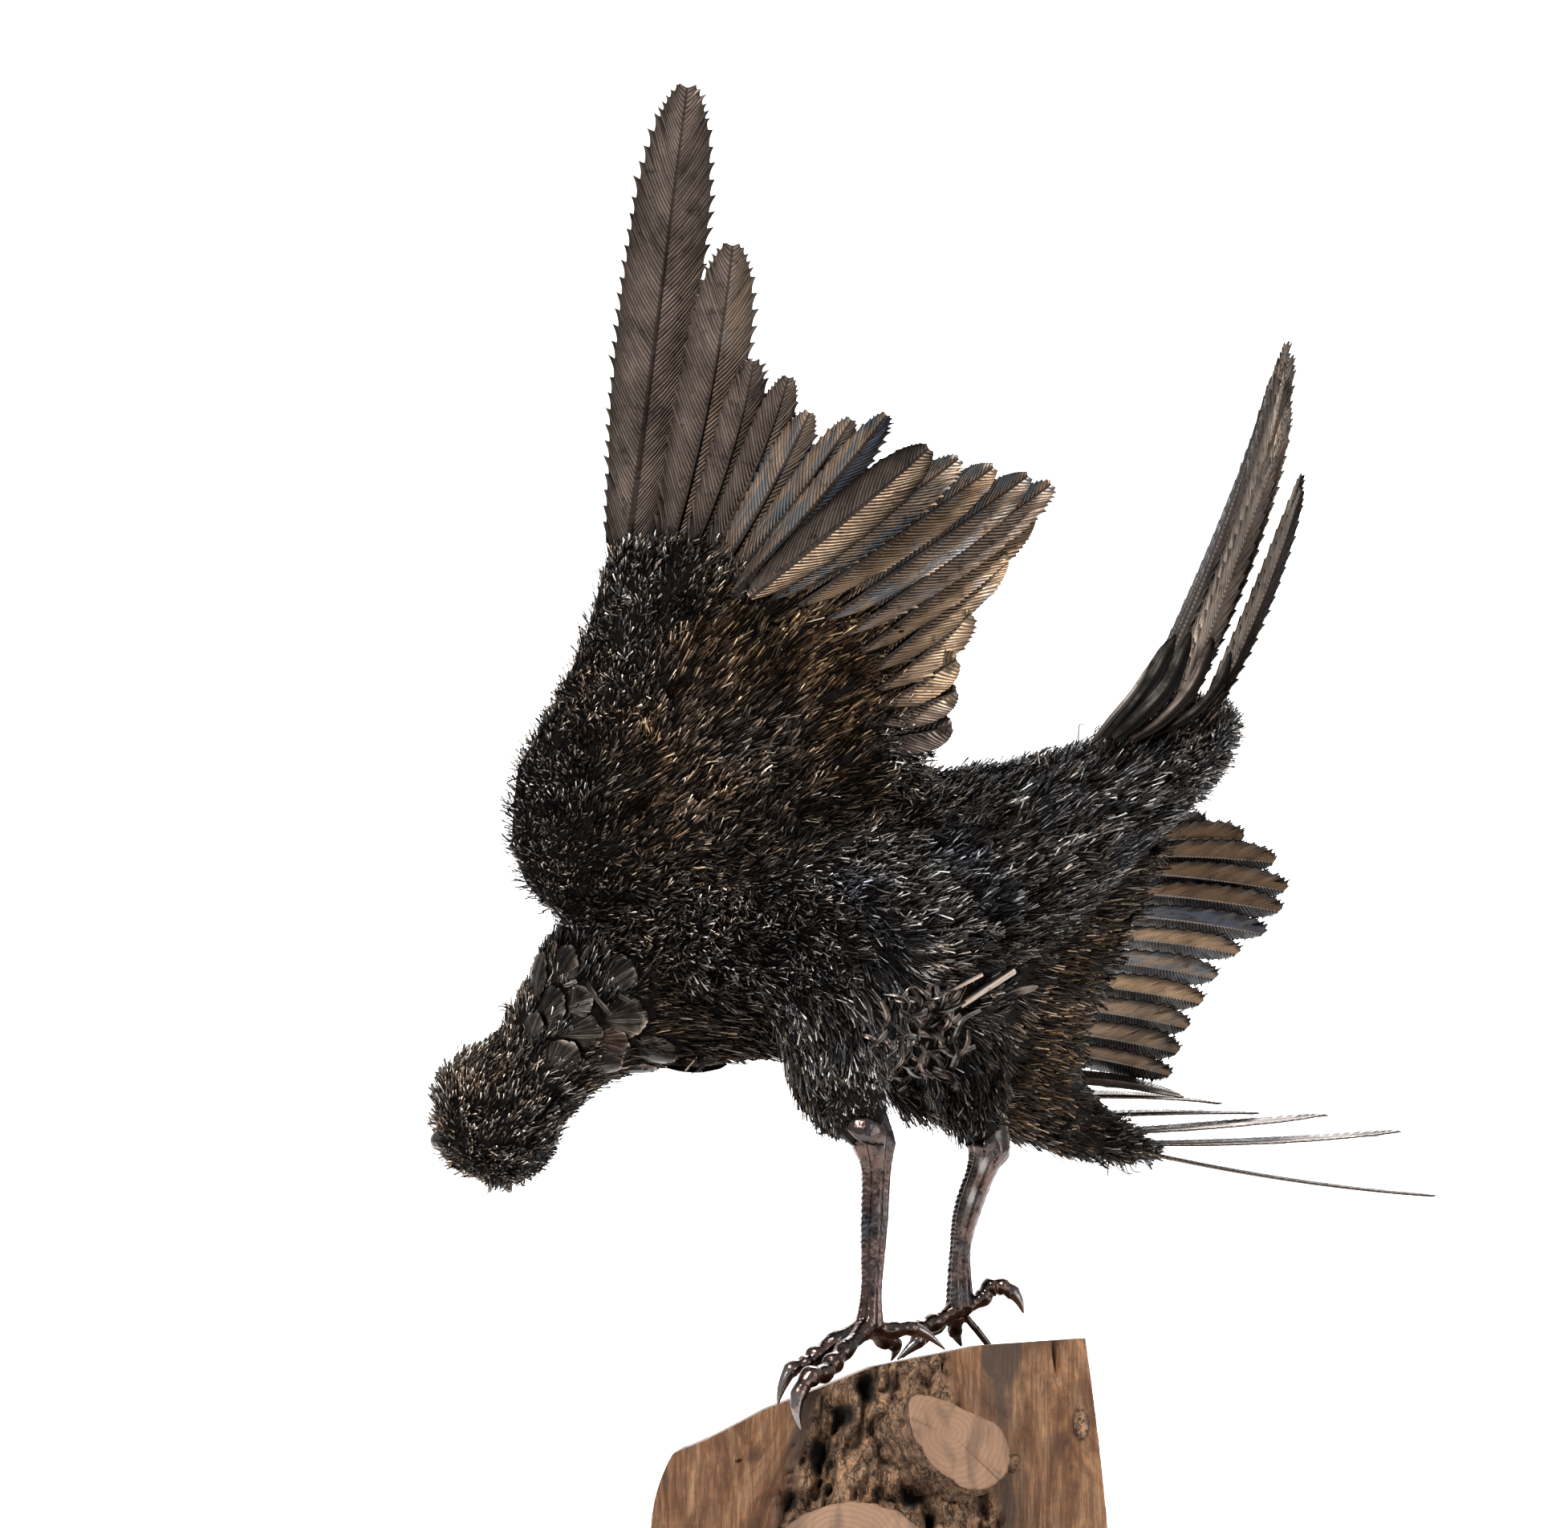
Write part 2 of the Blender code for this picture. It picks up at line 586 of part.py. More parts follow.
def build_top_saw():
    """Cutter above the sloping sawn top."""
    solid = bmesh.new()
    far = BLOCK_DEPTH + BARK_BULGE
    outline = [(share * BLOCK_WIDTH, PERCH_HEIGHT + rise * TOP_FALL) for share, rise in BLOCK_TOP]
    outline += [(outline[-1][0], PERCH_HEIGHT * 2), (outline[0][0], PERCH_HEIGHT * 2)]
    ring_solid(solid, [[Vector((across, deep, up)) for across, up in outline]
                       for deep in (-far, far)])
    return hidden_cutter("top_saw", solid)


def build_foot_saw():
    """Cutter below the flat underside."""
    solid = bmesh.new()
    wide = BLOCK_WIDTH
    ring_solid(solid, [[Vector((x * wide, y * wide, level)) for x, y in
                        ((-1, -1), (1, -1), (1, 1), (-1, 1))] for level in (-wide / 6, 0.0)])
    return hidden_cutter("foot_saw", solid)


def hidden_cutter(name, solid):
    """A cutting body that isn't part of the model."""
    cutter = add_object(name, mesh_from(name, solid))
    cutter.hide_render = True
    cutter.display_type = "WIRE"
    return cutter


def main():
    """Build every piece."""
    for old in list(bpy.data.objects):
        bpy.data.objects.remove(old, do_unlink=True)
    slivers = material("chopped_steel", (0.055, 0.048, 0.042), 0.38, 1.0)
    sheet = material("feather_sheet", (0.20, 0.165, 0.135), 0.36, 1.0)
    bare = material("forged_leg", (0.07, 0.05, 0.045), 0.28, 1.0)
    horn = material("beak_steel", (0.16, 0.14, 0.12), 0.30, 1.0)
    bead = material("eye_bead", (0.01, 0.01, 0.01), 0.08, 0.0)
    wood = material("trunk_wood", (0.36, 0.21, 0.12), 0.65, 0.0)
    block = build_block(wood)
    body = build_body(slivers)
    around_body = clearance_of(body)
    around_block = clearance_of(block)
    build_beak(horn, around_body)
    build_eye("left_eye", 1, bead, around_body)
    build_eye("right_eye", -1, bead, around_body)
    build_leg(NEAR_LEG, bare, around_body, around_block)
    build_leg(FAR_LEG, bare, around_body, around_block)
    for fan in (NEAR_FAN, FAR_FAN, TAIL_FAN):
        build_fan(fan, sheet, around_body)


main()
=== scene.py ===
"""Looks of a bird of prey made of cut and chopped steel, landing on a sawn block of trunk.

X runs across the work, Y runs away from the side it is seen from and Z is up. A part is one
millimetre, and the figure's own heights are counted from the perch.
"""

import logging
import math
from collections.abc import Sequence
from dataclasses import dataclass, field
from enum import Enum

import bpy
import numpy as np
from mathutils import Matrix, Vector
from mathutils.bvhtree import BVHTree
from mathutils.kdtree import KDTree


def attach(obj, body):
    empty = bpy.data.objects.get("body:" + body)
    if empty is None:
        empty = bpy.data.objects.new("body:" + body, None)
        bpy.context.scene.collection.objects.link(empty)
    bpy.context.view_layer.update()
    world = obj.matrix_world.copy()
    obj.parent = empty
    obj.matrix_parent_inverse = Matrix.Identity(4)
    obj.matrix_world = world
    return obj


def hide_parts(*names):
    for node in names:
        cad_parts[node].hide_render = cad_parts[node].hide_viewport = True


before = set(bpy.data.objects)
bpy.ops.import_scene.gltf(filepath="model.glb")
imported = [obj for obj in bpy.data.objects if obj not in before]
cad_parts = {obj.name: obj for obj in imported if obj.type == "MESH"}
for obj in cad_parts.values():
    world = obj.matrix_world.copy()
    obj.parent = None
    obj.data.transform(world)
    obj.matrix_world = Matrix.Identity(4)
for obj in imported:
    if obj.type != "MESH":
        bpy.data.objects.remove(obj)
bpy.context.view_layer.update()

LOG = logging.getLogger("bird")

MM = 0.001
PERCH = 0.133
FRONT = -0.3        # a place well in front of the work, from which rays are cast at its skin

Colour = tuple[float, float, float]
Point = tuple[float, float, float]
Faces = list[np.ndarray]
Body = tuple[np.ndarray, list[np.ndarray]]

# Large numbers that scatter a cell's place and a seed into noise
SCATTER = (73856093, 19349663, 83492791, 2654435761)

# The four sides of a sliver, by the numbers of its corners
SLIVER_SIDES = ((0, 1, 2), (0, 3, 1), (0, 2, 3), (1, 3, 2))


def spot(across: float, deep: float, up: float) -> np.ndarray:
    """A point of the figure, in metres, from parts over the perch."""
    return np.array((across * MM, deep * MM, PERCH + up * MM))


def unit(vectors: np.ndarray) -> np.ndarray:
    """Vectors at length one, along the last axis."""
    return vectors / np.maximum(np.linalg.norm(vectors, axis=-1, keepdims=True), 1e-12)


def along_curve(points: Sequence, shares: np.ndarray) -> np.ndarray:
    """Points on the smooth curve through some points.

    Args:
        points: The points or values that the curve runs through.
        shares: Where to read it, from 0 at the first point to 1 at the last.

    Returns:
        One row for each share.
    """
    line = np.asarray(points, float)
    run = np.clip(shares, 0.0, 1.0) * (len(line) - 1)
    k = np.minimum(run.astype(int), len(line) - 2)
    u = (run - k).reshape(-1, *([1] * (line.ndim - 1)))
    before = line[np.maximum(k - 1, 0)]
    start = line[k]
    end = line[k + 1]
    after = line[np.minimum(k + 2, len(line) - 1)]
    return 0.5 * (2 * start + (end - before) * u
                  + (2 * before - 5 * start + 4 * end - after) * u ** 2
                  + (3 * start - before - 3 * end + after) * u ** 3)


def grain(points: np.ndarray, scale: Sequence[float], seed: int) -> np.ndarray:
    """Smooth value noise.

    Args:
        points: Places, one a row, in metres.
        scale: Cells to the metre along each axis.
        seed: Which noise.

    Returns:
        A value from -1 to 1 for each point.
    """
    place = points * np.asarray(scale, float)
    cell = np.floor(place).astype(np.int64)
    ease = place - cell
    ease = ease * ease * (3 - 2 * ease)
    total = np.zeros(len(points))
    for corner in np.ndindex(2, 2, 2):
        key = cell + np.array(corner)
        mixed = ((key[:, 0] * SCATTER[0]) ^ (key[:, 1] * SCATTER[1])
                 ^ (key[:, 2] * SCATTER[2]) ^ (seed * SCATTER[3]))
        mixed = (mixed ^ (mixed >> 13)) * 1274126177
        value = ((mixed ^ (mixed >> 16)) & 0xFFFF) / 32767.5 - 1.0
        weight = np.prod(np.where(np.array(corner), ease, 1 - ease), axis=1)
        total += value * weight
    return total


def rough_grain(points: np.ndarray, scale: Sequence[float], seed: int, octaves: int = 4) -> np.ndarray:
    """Several sizes of noise on top of one another.

    Args:
        points: Places, one a row, in metres.
        scale: Cells to the metre along each axis, for the largest size.
        seed: Which noise.
        octaves: How many sizes.

    Returns:
        A value from about -1 to 1 for each point.
    """
    total = np.zeros(len(points))
    for k in range(octaves):
        total += grain(points, np.asarray(scale) * 2 ** k, seed + k) * 0.55 ** k
    return total / 1.6


def grid_faces(rows: int, cols: int, wrap: bool = False) -> np.ndarray:
    """Quads over a grid of points.

    Args:
        rows: Points one way.
        cols: Points the other way.
        wrap: Whether the last column meets the first.

    Returns:
        Four corner numbers a row.
    """
    i, j = np.meshgrid(np.arange(rows - 1), np.arange(cols if wrap else cols - 1), indexing="ij")
    right = (j + 1) % cols
    return np.stack([i * cols + j, i * cols + right, (i + 1) * cols + right, (i + 1) * cols + j],
                    -1).reshape(-1, 4)


def end_caps(rows: int, cols: int, first: int, last: int) -> np.ndarray:
    """Triangles that close both ends of a grid whose last column meets the first.

    Args:
        rows: Rings of the grid.
        cols: Points in a ring.
        first: Number of the point that closes the first ring.
        last: Number of the point that closes the last ring.

    Returns:
        Three corner numbers a row, the first ring's triangles before the last ring's.
    """
    around = np.arange(cols)
    after = (around + 1) % cols
    end = (rows - 1) * cols
    return np.concatenate([np.stack([after, around, np.full(cols, first)], -1),
                           np.stack([end + around, end + after, np.full(cols, last)], -1)])


def put_in_scene(name: str, data: bpy.types.ID) -> bpy.types.Object:
    """A new object of the scene that shows some data."""
    made = bpy.data.objects.new(name, data)
    bpy.context.scene.collection.objects.link(made)
    return made


def read_rows(items: Sequence, name: str) -> np.ndarray:
    """A property of three numbers, read from each of some items as one row."""
    values = np.zeros(len(items) * 3, np.float32)
    items.foreach_get(name, values)
    return values.reshape(-1, 3).astype(float)


@dataclass
class Shell:
    """Closed bodies gathered into the mesh of one piece, with a finish number for each face."""

    points: list = field(default_factory=list)
    faces: list = field(default_factory=list)
    kinds: list = field(default_factory=list)
    values: dict = field(default_factory=dict)
    flats: list = field(default_factory=list)
    count: int = 0

    def add(self, points: np.ndarray, faces: Faces, kind: int | list = 0,
            flat: np.ndarray | None = None, **values: float | np.ndarray) -> None:
        """Take in one body.

        Args:
            points: Its points, one a row.
            faces: Arrays of corner numbers, one array for each number of corners.
            kind: The number of its finish, or one array of numbers for each array of faces.
            flat: Its flat coordinates, one row a point, for finishes that follow the sheet.
            values: Named numbers for its points, which finishes read.
        """
        self.points.append(points)
        for number, part in enumerate(faces):
            self.faces.append(np.asarray(part) + self.count)
            given = kind[number] if isinstance(kind, list) else kind
            self.kinds.append(np.broadcast_to(given, len(part)))
        for name, value in values.items():
            self.values.setdefault(name, []).append(np.broadcast_to(value, len(points)))
        self.flats.append(np.zeros((len(points), 2)) if flat is None else flat)
        self.count += len(points)

    def piece(self, name: str, finishes: Sequence[bpy.types.Material],
              smooth: float | None = None) -> bpy.types.Object:
        """Make the piece.

        Args:
            name: The piece's name.
            finishes: Materials in the order of the finish numbers.
            smooth: Angle in degrees over which an edge stays sharp, or None for flat faces.

        Returns:
            The object, linked into the scene.
        """
        points = np.concatenate(self.points)
        corners = np.concatenate([part.ravel() for part in self.faces]).astype(np.int32)
        sizes = np.concatenate([np.full(len(part), part.shape[1]) for part in self.faces])
        mesh = bpy.data.meshes.new(name)
        mesh.vertices.add(len(points))
        mesh.vertices.foreach_set("co", points.astype(np.float32).ravel())
        mesh.loops.add(len(corners))
        mesh.loops.foreach_set("vertex_index", corners)
        mesh.polygons.add(len(sizes))
        starts = np.concatenate([[0], np.cumsum(sizes)[:-1]])
        mesh.polygons.foreach_set("loop_start", starts.astype(np.int32))
        mesh.polygons.foreach_set("material_index", np.concatenate(self.kinds).astype(np.int32))
        for label, parts in self.values.items():
            layer = mesh.attributes.new(label, "FLOAT", "POINT")
            layer.data.foreach_set("value", np.concatenate(parts).astype(np.float32))
        flat = np.concatenate(self.flats)
        if flat.any():
            layer = mesh.uv_layers.new(name="flat")
            layer.data.foreach_set("uv", flat[corners].astype(np.float32).ravel())
        for finish in finishes:
            mesh.materials.append(finish)
        mesh.update(calc_edges=True)
        if smooth is not None:
            mesh.shade_smooth()
            mesh.set_sharp_from_angle(angle=math.radians(smooth))
        return put_in_scene(name, mesh)


def place_piece(made: bpy.types.Object, slot: str, *nodes: str) -> bpy.types.Object:
    """Tie a piece to the work and report it.

    Args:
        made: The piece.
        slot: The record's material slot. It is not used.
        nodes: The solids that it stands for.

    Returns:
        The same piece.
    """
    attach(made, "root")
    if nodes:
        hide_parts(*nodes)
    LOG.info("%s: %d faces, stands for %s", made.name, len(made.data.polygons), nodes or "no solid")
    return made


def tube(path: Sequence, radii: Sequence, steps: int, sides: int,
         flatten: float = 1.0, flat_way: Sequence[float] = (0, 0, 1)) -> Body:
    """A closed tube along a smooth curve.

    Args:
        path: The points that it follows.
        radii: Its radius at those points.
        steps: Rings along it.
        sides: Points round it.
        flatten: Its size along flat_way as a share of its size across.
        flat_way: The direction in which it is flattened.

    Returns:
        Points and faces.
    """
    shares = np.linspace(0, 1, steps)
    centres = along_curve(path, shares)
    sizes = along_curve(radii, shares)
    ways = unit(np.gradient(centres, axis=0))
    seconds = unit(np.asarray(flat_way, float) - ways * (ways @ np.asarray(flat_way, float))[:, None])
    firsts = np.cross(ways, seconds)
    turns = 2 * np.pi * np.arange(sides) / sides
    ring = (firsts[:, None] * np.cos(turns)[None, :, None]
            + seconds[:, None] * (flatten * np.sin(turns))[None, :, None])
    points = (centres[:, None] + ring * sizes[:, None, None]).reshape(-1, 3)
    points = np.concatenate([points, centres[:1], centres[-1:]])
    count = steps * sides
    return points, [grid_faces(steps, sides, True), end_caps(steps, sides, count, count + 1)]


def sheet_body(grid: np.ndarray, normals: np.ndarray, thickness: float | np.ndarray) -> Body:
    """A closed body of sheet under a grid of points.

    Args:
        grid: Points of its face, by row and column.
        normals: The way the face looks, for each point.
        thickness: Thickness in metres, for all points or each.

    Returns:
        Points and faces: the face's quads, the back's and the rim's.
    """
    rows, cols = grid.shape[:2]
    depth = np.broadcast_to(thickness, grid.shape[:2])[..., None]
    points = np.concatenate([grid.reshape(-1, 3), (grid - normals * depth).reshape(-1, 3)])
    face = grid_faces(rows, cols)
    back = face[:, ::-1] + rows * cols
    numbers = np.arange(rows * cols).reshape(rows, cols)
    rim = np.concatenate([numbers[0], numbers[1:, -1], numbers[-1, -2::-1], numbers[-2:0:-1, 0]])
    after = np.roll(rim, -1)
    edge = np.stack([rim, rim + rows * cols, after + rows * cols, after], -1)
    return points, [face, back, edge]


# Finishes

class Net:
    """A material's nodes, written as calls that give sockets."""

    def __init__(self, name: str, roughness: float, metallic: float) -> None:
        """Start a material with a plain Principled shader."""
        self.material = bpy.data.materials.new(name)
        self.material.use_nodes = True
        self.nodes = self.material.node_tree.nodes
        self.shader = self.nodes["Principled BSDF"]
        self.shader.inputs["Roughness"].default_value = roughness
        self.shader.inputs["Metallic"].default_value = metallic
        self.place = self.nodes.new("ShaderNodeTexCoord").outputs["Object"]

    def feed(self, socket: bpy.types.NodeSocket, value: object) -> None:
        """Link a socket to another, or give it a plain value.

        Args:
            socket: The socket that takes it.
            value: A socket, a number or a row of numbers.
        """
        if isinstance(value, bpy.types.NodeSocket):
            self.material.node_tree.links.new(value, socket)
        else:
            socket.default_value = value

    def out(self, **inputs: object) -> None:
        """Feed the shader's own inputs, named with underscores for spaces."""
        for name, value in inputs.items():
            self.feed(self.shader.inputs[name.replace("_", " ")], value)

    def mapped(self, scale: Sequence[float], vector: object = None, turn: Sequence[float] = (0, 0, 0),
               shift: Sequence[float] = (0, 0, 0)) -> bpy.types.NodeSocket:
        """Coordinates that are shifted, turned and scaled.

        Args:
            scale: Factors along each axis.
            vector: The coordinates, or None for the piece's own.
            turn: Angles about each axis, in radians.
            shift: What is added along each axis.

        Returns:
            The new coordinates.
        """
        made = self.nodes.new("ShaderNodeMapping")
        self.feed(made.inputs["Vector"], vector or self.place)
        made.inputs["Location"].default_value = shift
        made.inputs["Rotation"].default_value = turn
        made.inputs["Scale"].default_value = scale
        return made.outputs["Vector"]

    def noise(self, scale: float, detail: float = 4.0, rough: float = 0.55, vector: object = None,
              twist: float = 0.0) -> bpy.types.NodeSocket:
        """Noise over the piece, or over other coordinates.

        Args:
            scale: Waves to the metre.
            detail: How many finer sizes are added.
            rough: How strong the finer sizes are.
            vector: The coordinates, or None for the piece's own.
            twist: How far the noise bends itself.

        Returns:
            A value from 0 to 1.
        """
        made = self.nodes.new("ShaderNodeTexNoise")
        self.feed(made.inputs["Vector"], vector or self.place)
        made.inputs["Scale"].default_value = scale
        made.inputs["Detail"].default_value = detail
        made.inputs["Roughness"].default_value = rough
        made.inputs["Distortion"].default_value = twist
        return made.outputs[0]

    def ramp(self, value: object, stops: Sequence[tuple]) -> bpy.types.NodeSocket:
        """Colours or greys along a value.

        Args:
            value: Where to read, from 0 to 1.
            stops: Pairs of a position and a colour or grey.

        Returns:
            The colour there.
        """
        made = self.nodes.new("ShaderNodeValToRGB")
        self.feed(made.inputs[0], value)
        marks = made.color_ramp.elements
        while len(marks) < len(stops):
            marks.new(1.0)
        for mark, (position, colour) in zip(marks, stops):
            mark.position = position
            shade = (colour,) * 3 if isinstance(colour, (int, float)) else colour
            mark.color = (*shade, 1.0)
        return made.outputs[0]

    def mix(self, share: object, first: object, second: object, way: str = "MIX") -> bpy.types.NodeSocket:
        """Two colours mixed by a share.

        Args:
            share: How much of the second is taken.
            first: One colour.
            second: The other colour.
            way: How they are mixed.

        Returns:
            The mixed colour.
        """
        made = self.nodes.new("ShaderNodeMix")
        made.data_type = "RGBA"
        made.blend_type = way
        for number, value in ((0, share), (6, first), (7, second)):
            if isinstance(value, tuple):
                value = (*value, 1.0)
            self.feed(made.inputs[number], value)
        return made.outputs[2]

    def sum(self, kind: str, first: object, second: object = 0.0) -> bpy.types.NodeSocket:
        """One step of arithmetic.

        Args:
            kind: The operation.
            first: One number.
            second: The other number.

        Returns:
            The result.
        """
        made = self.nodes.new("ShaderNodeMath")
        made.operation = kind
        self.feed(made.inputs[0], first)
        self.feed(made.inputs[1], second)
        return made.outputs[0]

    def own(self, name: str) -> bpy.types.NodeSocket:
        """A number that the mesh carries for each point."""
        made = self.nodes.new("ShaderNodeAttribute")
        made.attribute_name = name
        return made.outputs["Fac"]

    def island(self) -> bpy.types.NodeSocket:
        """A random number for each closed body of the mesh."""
        return self.nodes.new("ShaderNodeNewGeometry").outputs["Random Per Island"]

    def flat(self) -> bpy.types.NodeSocket:
        """The flat coordinates of a sheet, in millimetres along and across its barbs."""
        made = self.nodes.new("ShaderNodeUVMap")
        made.uv_map = "flat"
        return made.outputs[0]

    def bump(self, height: object, strength: float, depth: float) -> bpy.types.NodeSocket:
        """A normal with fine relief on it.

        Args:
            height: The relief, from 0 to 1.
            strength: How much of it is taken.
            depth: Its depth in metres.

        Returns:
            The normal.
        """
        made = self.nodes.new("ShaderNodeBump")
        made.inputs["Strength"].default_value = strength
        made.inputs["Distance"].default_value = depth
        self.feed(made.inputs["Height"], height)
        return made.outputs[0]


@dataclass(frozen=True)
class SliverFinish:
    """Chopped steel: each sliver has its own shade of blue-black, brown or bronze."""

    name: str = "chopped_steel"
    roughness: float = 0.36

    def build(self) -> bpy.types.Material:
        """Make the material.

        Returns:
            The material.
        """
        net = Net(self.name, self.roughness, 1.0)
        chance = net.island()
        # The top stops of both ramps, the brightest few slivers, are painted glints.
        cool = net.ramp(chance, ((0.0, (0.010, 0.010, 0.010)), (0.5, (0.032, 0.030, 0.029)),
                                 (0.80, (0.090, 0.084, 0.080)), (0.95, (0.30, 0.285, 0.27)),
                                 (1.0, (0.62, 0.60, 0.57))))
        warm = net.ramp(chance, ((0.0, (0.012, 0.008, 0.005)), (0.5, (0.036, 0.023, 0.014)),
                                 (0.80, (0.092, 0.057, 0.032)), (0.95, (0.25, 0.155, 0.082)),
                                 (1.0, (0.52, 0.36, 0.22))))
        colour = net.mix(net.own("warmth"), cool, warm)
        shade = net.ramp(net.own("shade"), ((0.0, 0.12), (0.5, 0.80), (1.0, 1.80)))
        colour = net.mix(1.0, colour, shade, "MULTIPLY")
        stain = net.ramp(net.noise(45.0, 5.0), ((0.50, 0.0), (0.66, 1.0)))
        tinted = net.mix(1.0, colour, (0.80, 0.94, 1.20), "MULTIPLY")
        cold = net.sum("SUBTRACT", 0.8, net.own("warmth"))
        colour = net.mix(net.sum("MULTIPLY", stain, cold), colour, tinted)
        # The light value brightens slivers: partly pale steel, partly painted glints.
        pale = net.mix(1.0, colour, (2.6, 2.6, 2.6), "MULTIPLY")
        colour = net.mix(net.own("light"), colour, pale)
        second = net.sum("FRACT", net.sum("MULTIPLY", chance, 37.7))
        net.out(Base_Color=colour, Roughness=net.ramp(second, ((0.0, 0.24), (1.0, 0.52))),
                Normal=net.bump(net.noise(2400.0, 2.0), 0.25, 0.0002))
        return net.material


@dataclass(frozen=True)
class SheetFinish:
    """Engraved feather sheet with heat colours, darker between its barbs."""

    name: str
    base: Colour
    deep: Colour
    bloom: Colour = (0.10, 0.14, 0.19)
    bloom_share: float = 0.12
    roughness: float = 0.36
    groove: float = 0.36        # how bright the grooves are between the barbs, 1 for a plain sheet

    def build(self) -> bpy.types.Material:
        """Make the material.

        Returns:
            The material.
        """
        net = Net(self.name, self.roughness, 1.0)
        flat = net.flat()
        split = net.nodes.new("ShaderNodeSeparateXYZ")
        net.feed(split.inputs[0], flat)
        groove = net.sum("PINGPONG", split.outputs[0], 0.5)
        broad = net.noise(38.0, 5.0, 0.6)
        streak = net.noise(1.0, 3.0, 0.6, net.mapped((1.2, 0.10, 1.0), flat))
        fine = net.noise(1.0, 3.0, 0.7, net.mapped((2.6, 0.3, 1.0), flat))
        shade = net.sum("ADD", net.sum("MULTIPLY", broad, 0.55), net.sum("MULTIPLY", streak, 0.45))
        colour = net.mix(net.ramp(shade, ((0.36, 0.0), (0.62, 1.0))), self.deep, self.base)
        glow = net.mix(1.0, colour, (1.45, 1.35, 1.22), "MULTIPLY")
        colour = net.mix(net.ramp(fine, ((0.50, 0.0), (0.72, 0.8))), colour, glow)
        edge = 0.70 - 0.24 * self.bloom_share
        moved = net.mapped((0.10, 0.55, 1.0), flat, shift=(self.base[0] * 90, 0, 0))
        patches = net.noise(1.0, 5.0, 0.65, moved, 0.5)
        colour = net.mix(net.ramp(patches, ((edge, 0.0), (edge + 0.07, 0.75))), colour, self.bloom)
        smuts = net.noise(160.0, 5.0, 0.7)
        colour = net.mix(net.ramp(smuts, ((0.56, 0.0), (0.70, 0.75))), colour, (0.014, 0.011, 0.009))
        lines = net.ramp(groove, ((0.02, 1.0), (0.20, 0.6 + 0.4 * self.groove), (0.38, self.groove)))
        colour = net.mix(1.0, colour, lines, "MULTIPLY")
        # Darker towards the edges by the fringe value: partly dark teeth, partly painted shade where
        # feathers overlap.
        colour = net.mix(net.own("fringe"), colour, (0.008, 0.006, 0.005))
        net.out(Base_Color=colour,
                Roughness=net.ramp(net.noise(120.0, 4.0), ((0.3, self.roughness - 0.08),
                                                           (0.7, self.roughness + 0.14))),
                Normal=net.bump(net.sum("ADD", fine, streak), 0.35, 0.0003))
        return net.material


class Tint(Enum):
    """Heat colours that the feather sheets show, and a near-black skin that is painted shade."""

    SMOKE = SheetFinish("smoke_sheet", (0.165, 0.127, 0.105), (0.044, 0.034, 0.030))
    TAUPE = SheetFinish("taupe_sheet", (0.270, 0.200, 0.152), (0.085, 0.063, 0.049), bloom_share=0.55)
    TEAL = SheetFinish("teal_sheet", (0.330, 0.230, 0.158), (0.105, 0.073, 0.052),
                       (0.080, 0.115, 0.142), 0.95)
    TAN = SheetFinish("tan_sheet", (0.260, 0.180, 0.119), (0.090, 0.060, 0.039), bloom_share=0.5)
    GILT = SheetFinish("gilt_sheet", (0.310, 0.222, 0.153), (0.120, 0.083, 0.057), bloom_share=0.2)
    COARSE = SheetFinish("coarse_sheet", (0.235, 0.165, 0.115), (0.095, 0.066, 0.046), bloom_share=0.0,
                         groove=0.10)
    BRONZE = SheetFinish("bronze_sheet", (0.360, 0.236, 0.143), (0.132, 0.084, 0.050), bloom_share=0.2)
    UMBER = SheetFinish("umber_sheet", (0.150, 0.091, 0.051), (0.048, 0.029, 0.017), bloom_share=0.0)
    SLATE = SheetFinish("slate_sheet", (0.075, 0.069, 0.071), (0.024, 0.022, 0.024),
                        (0.064, 0.076, 0.104), 0.95)
    PEWTER = SheetFinish("pewter_sheet", (0.300, 0.250, 0.211), (0.160, 0.131, 0.110), bloom_share=0.0,
                         roughness=0.52)
    # Painted shade: the skin shows only in the gaps between the slivers.
    PAINTED_SHADE_SKIN = SheetFinish("painted_shade_skin", (0.011, 0.009, 0.008), (0.005, 0.004, 0.004), bloom_share=0.0,
                       roughness=0.55, groove=1.0)
    DUSK = SheetFinish("dusk_sheet", (0.045, 0.034, 0.028), (0.014, 0.011, 0.009))
    ASH = SheetFinish("ash_sheet", (0.440, 0.352, 0.290), (0.210, 0.165, 0.132), bloom_share=0.0,
                      groove=1.0)
    SHAFT = SheetFinish("shaft_steel", (0.055, 0.042, 0.035), (0.018, 0.014, 0.012),
                        bloom_share=0.0, roughness=0.26, groove=1.0)


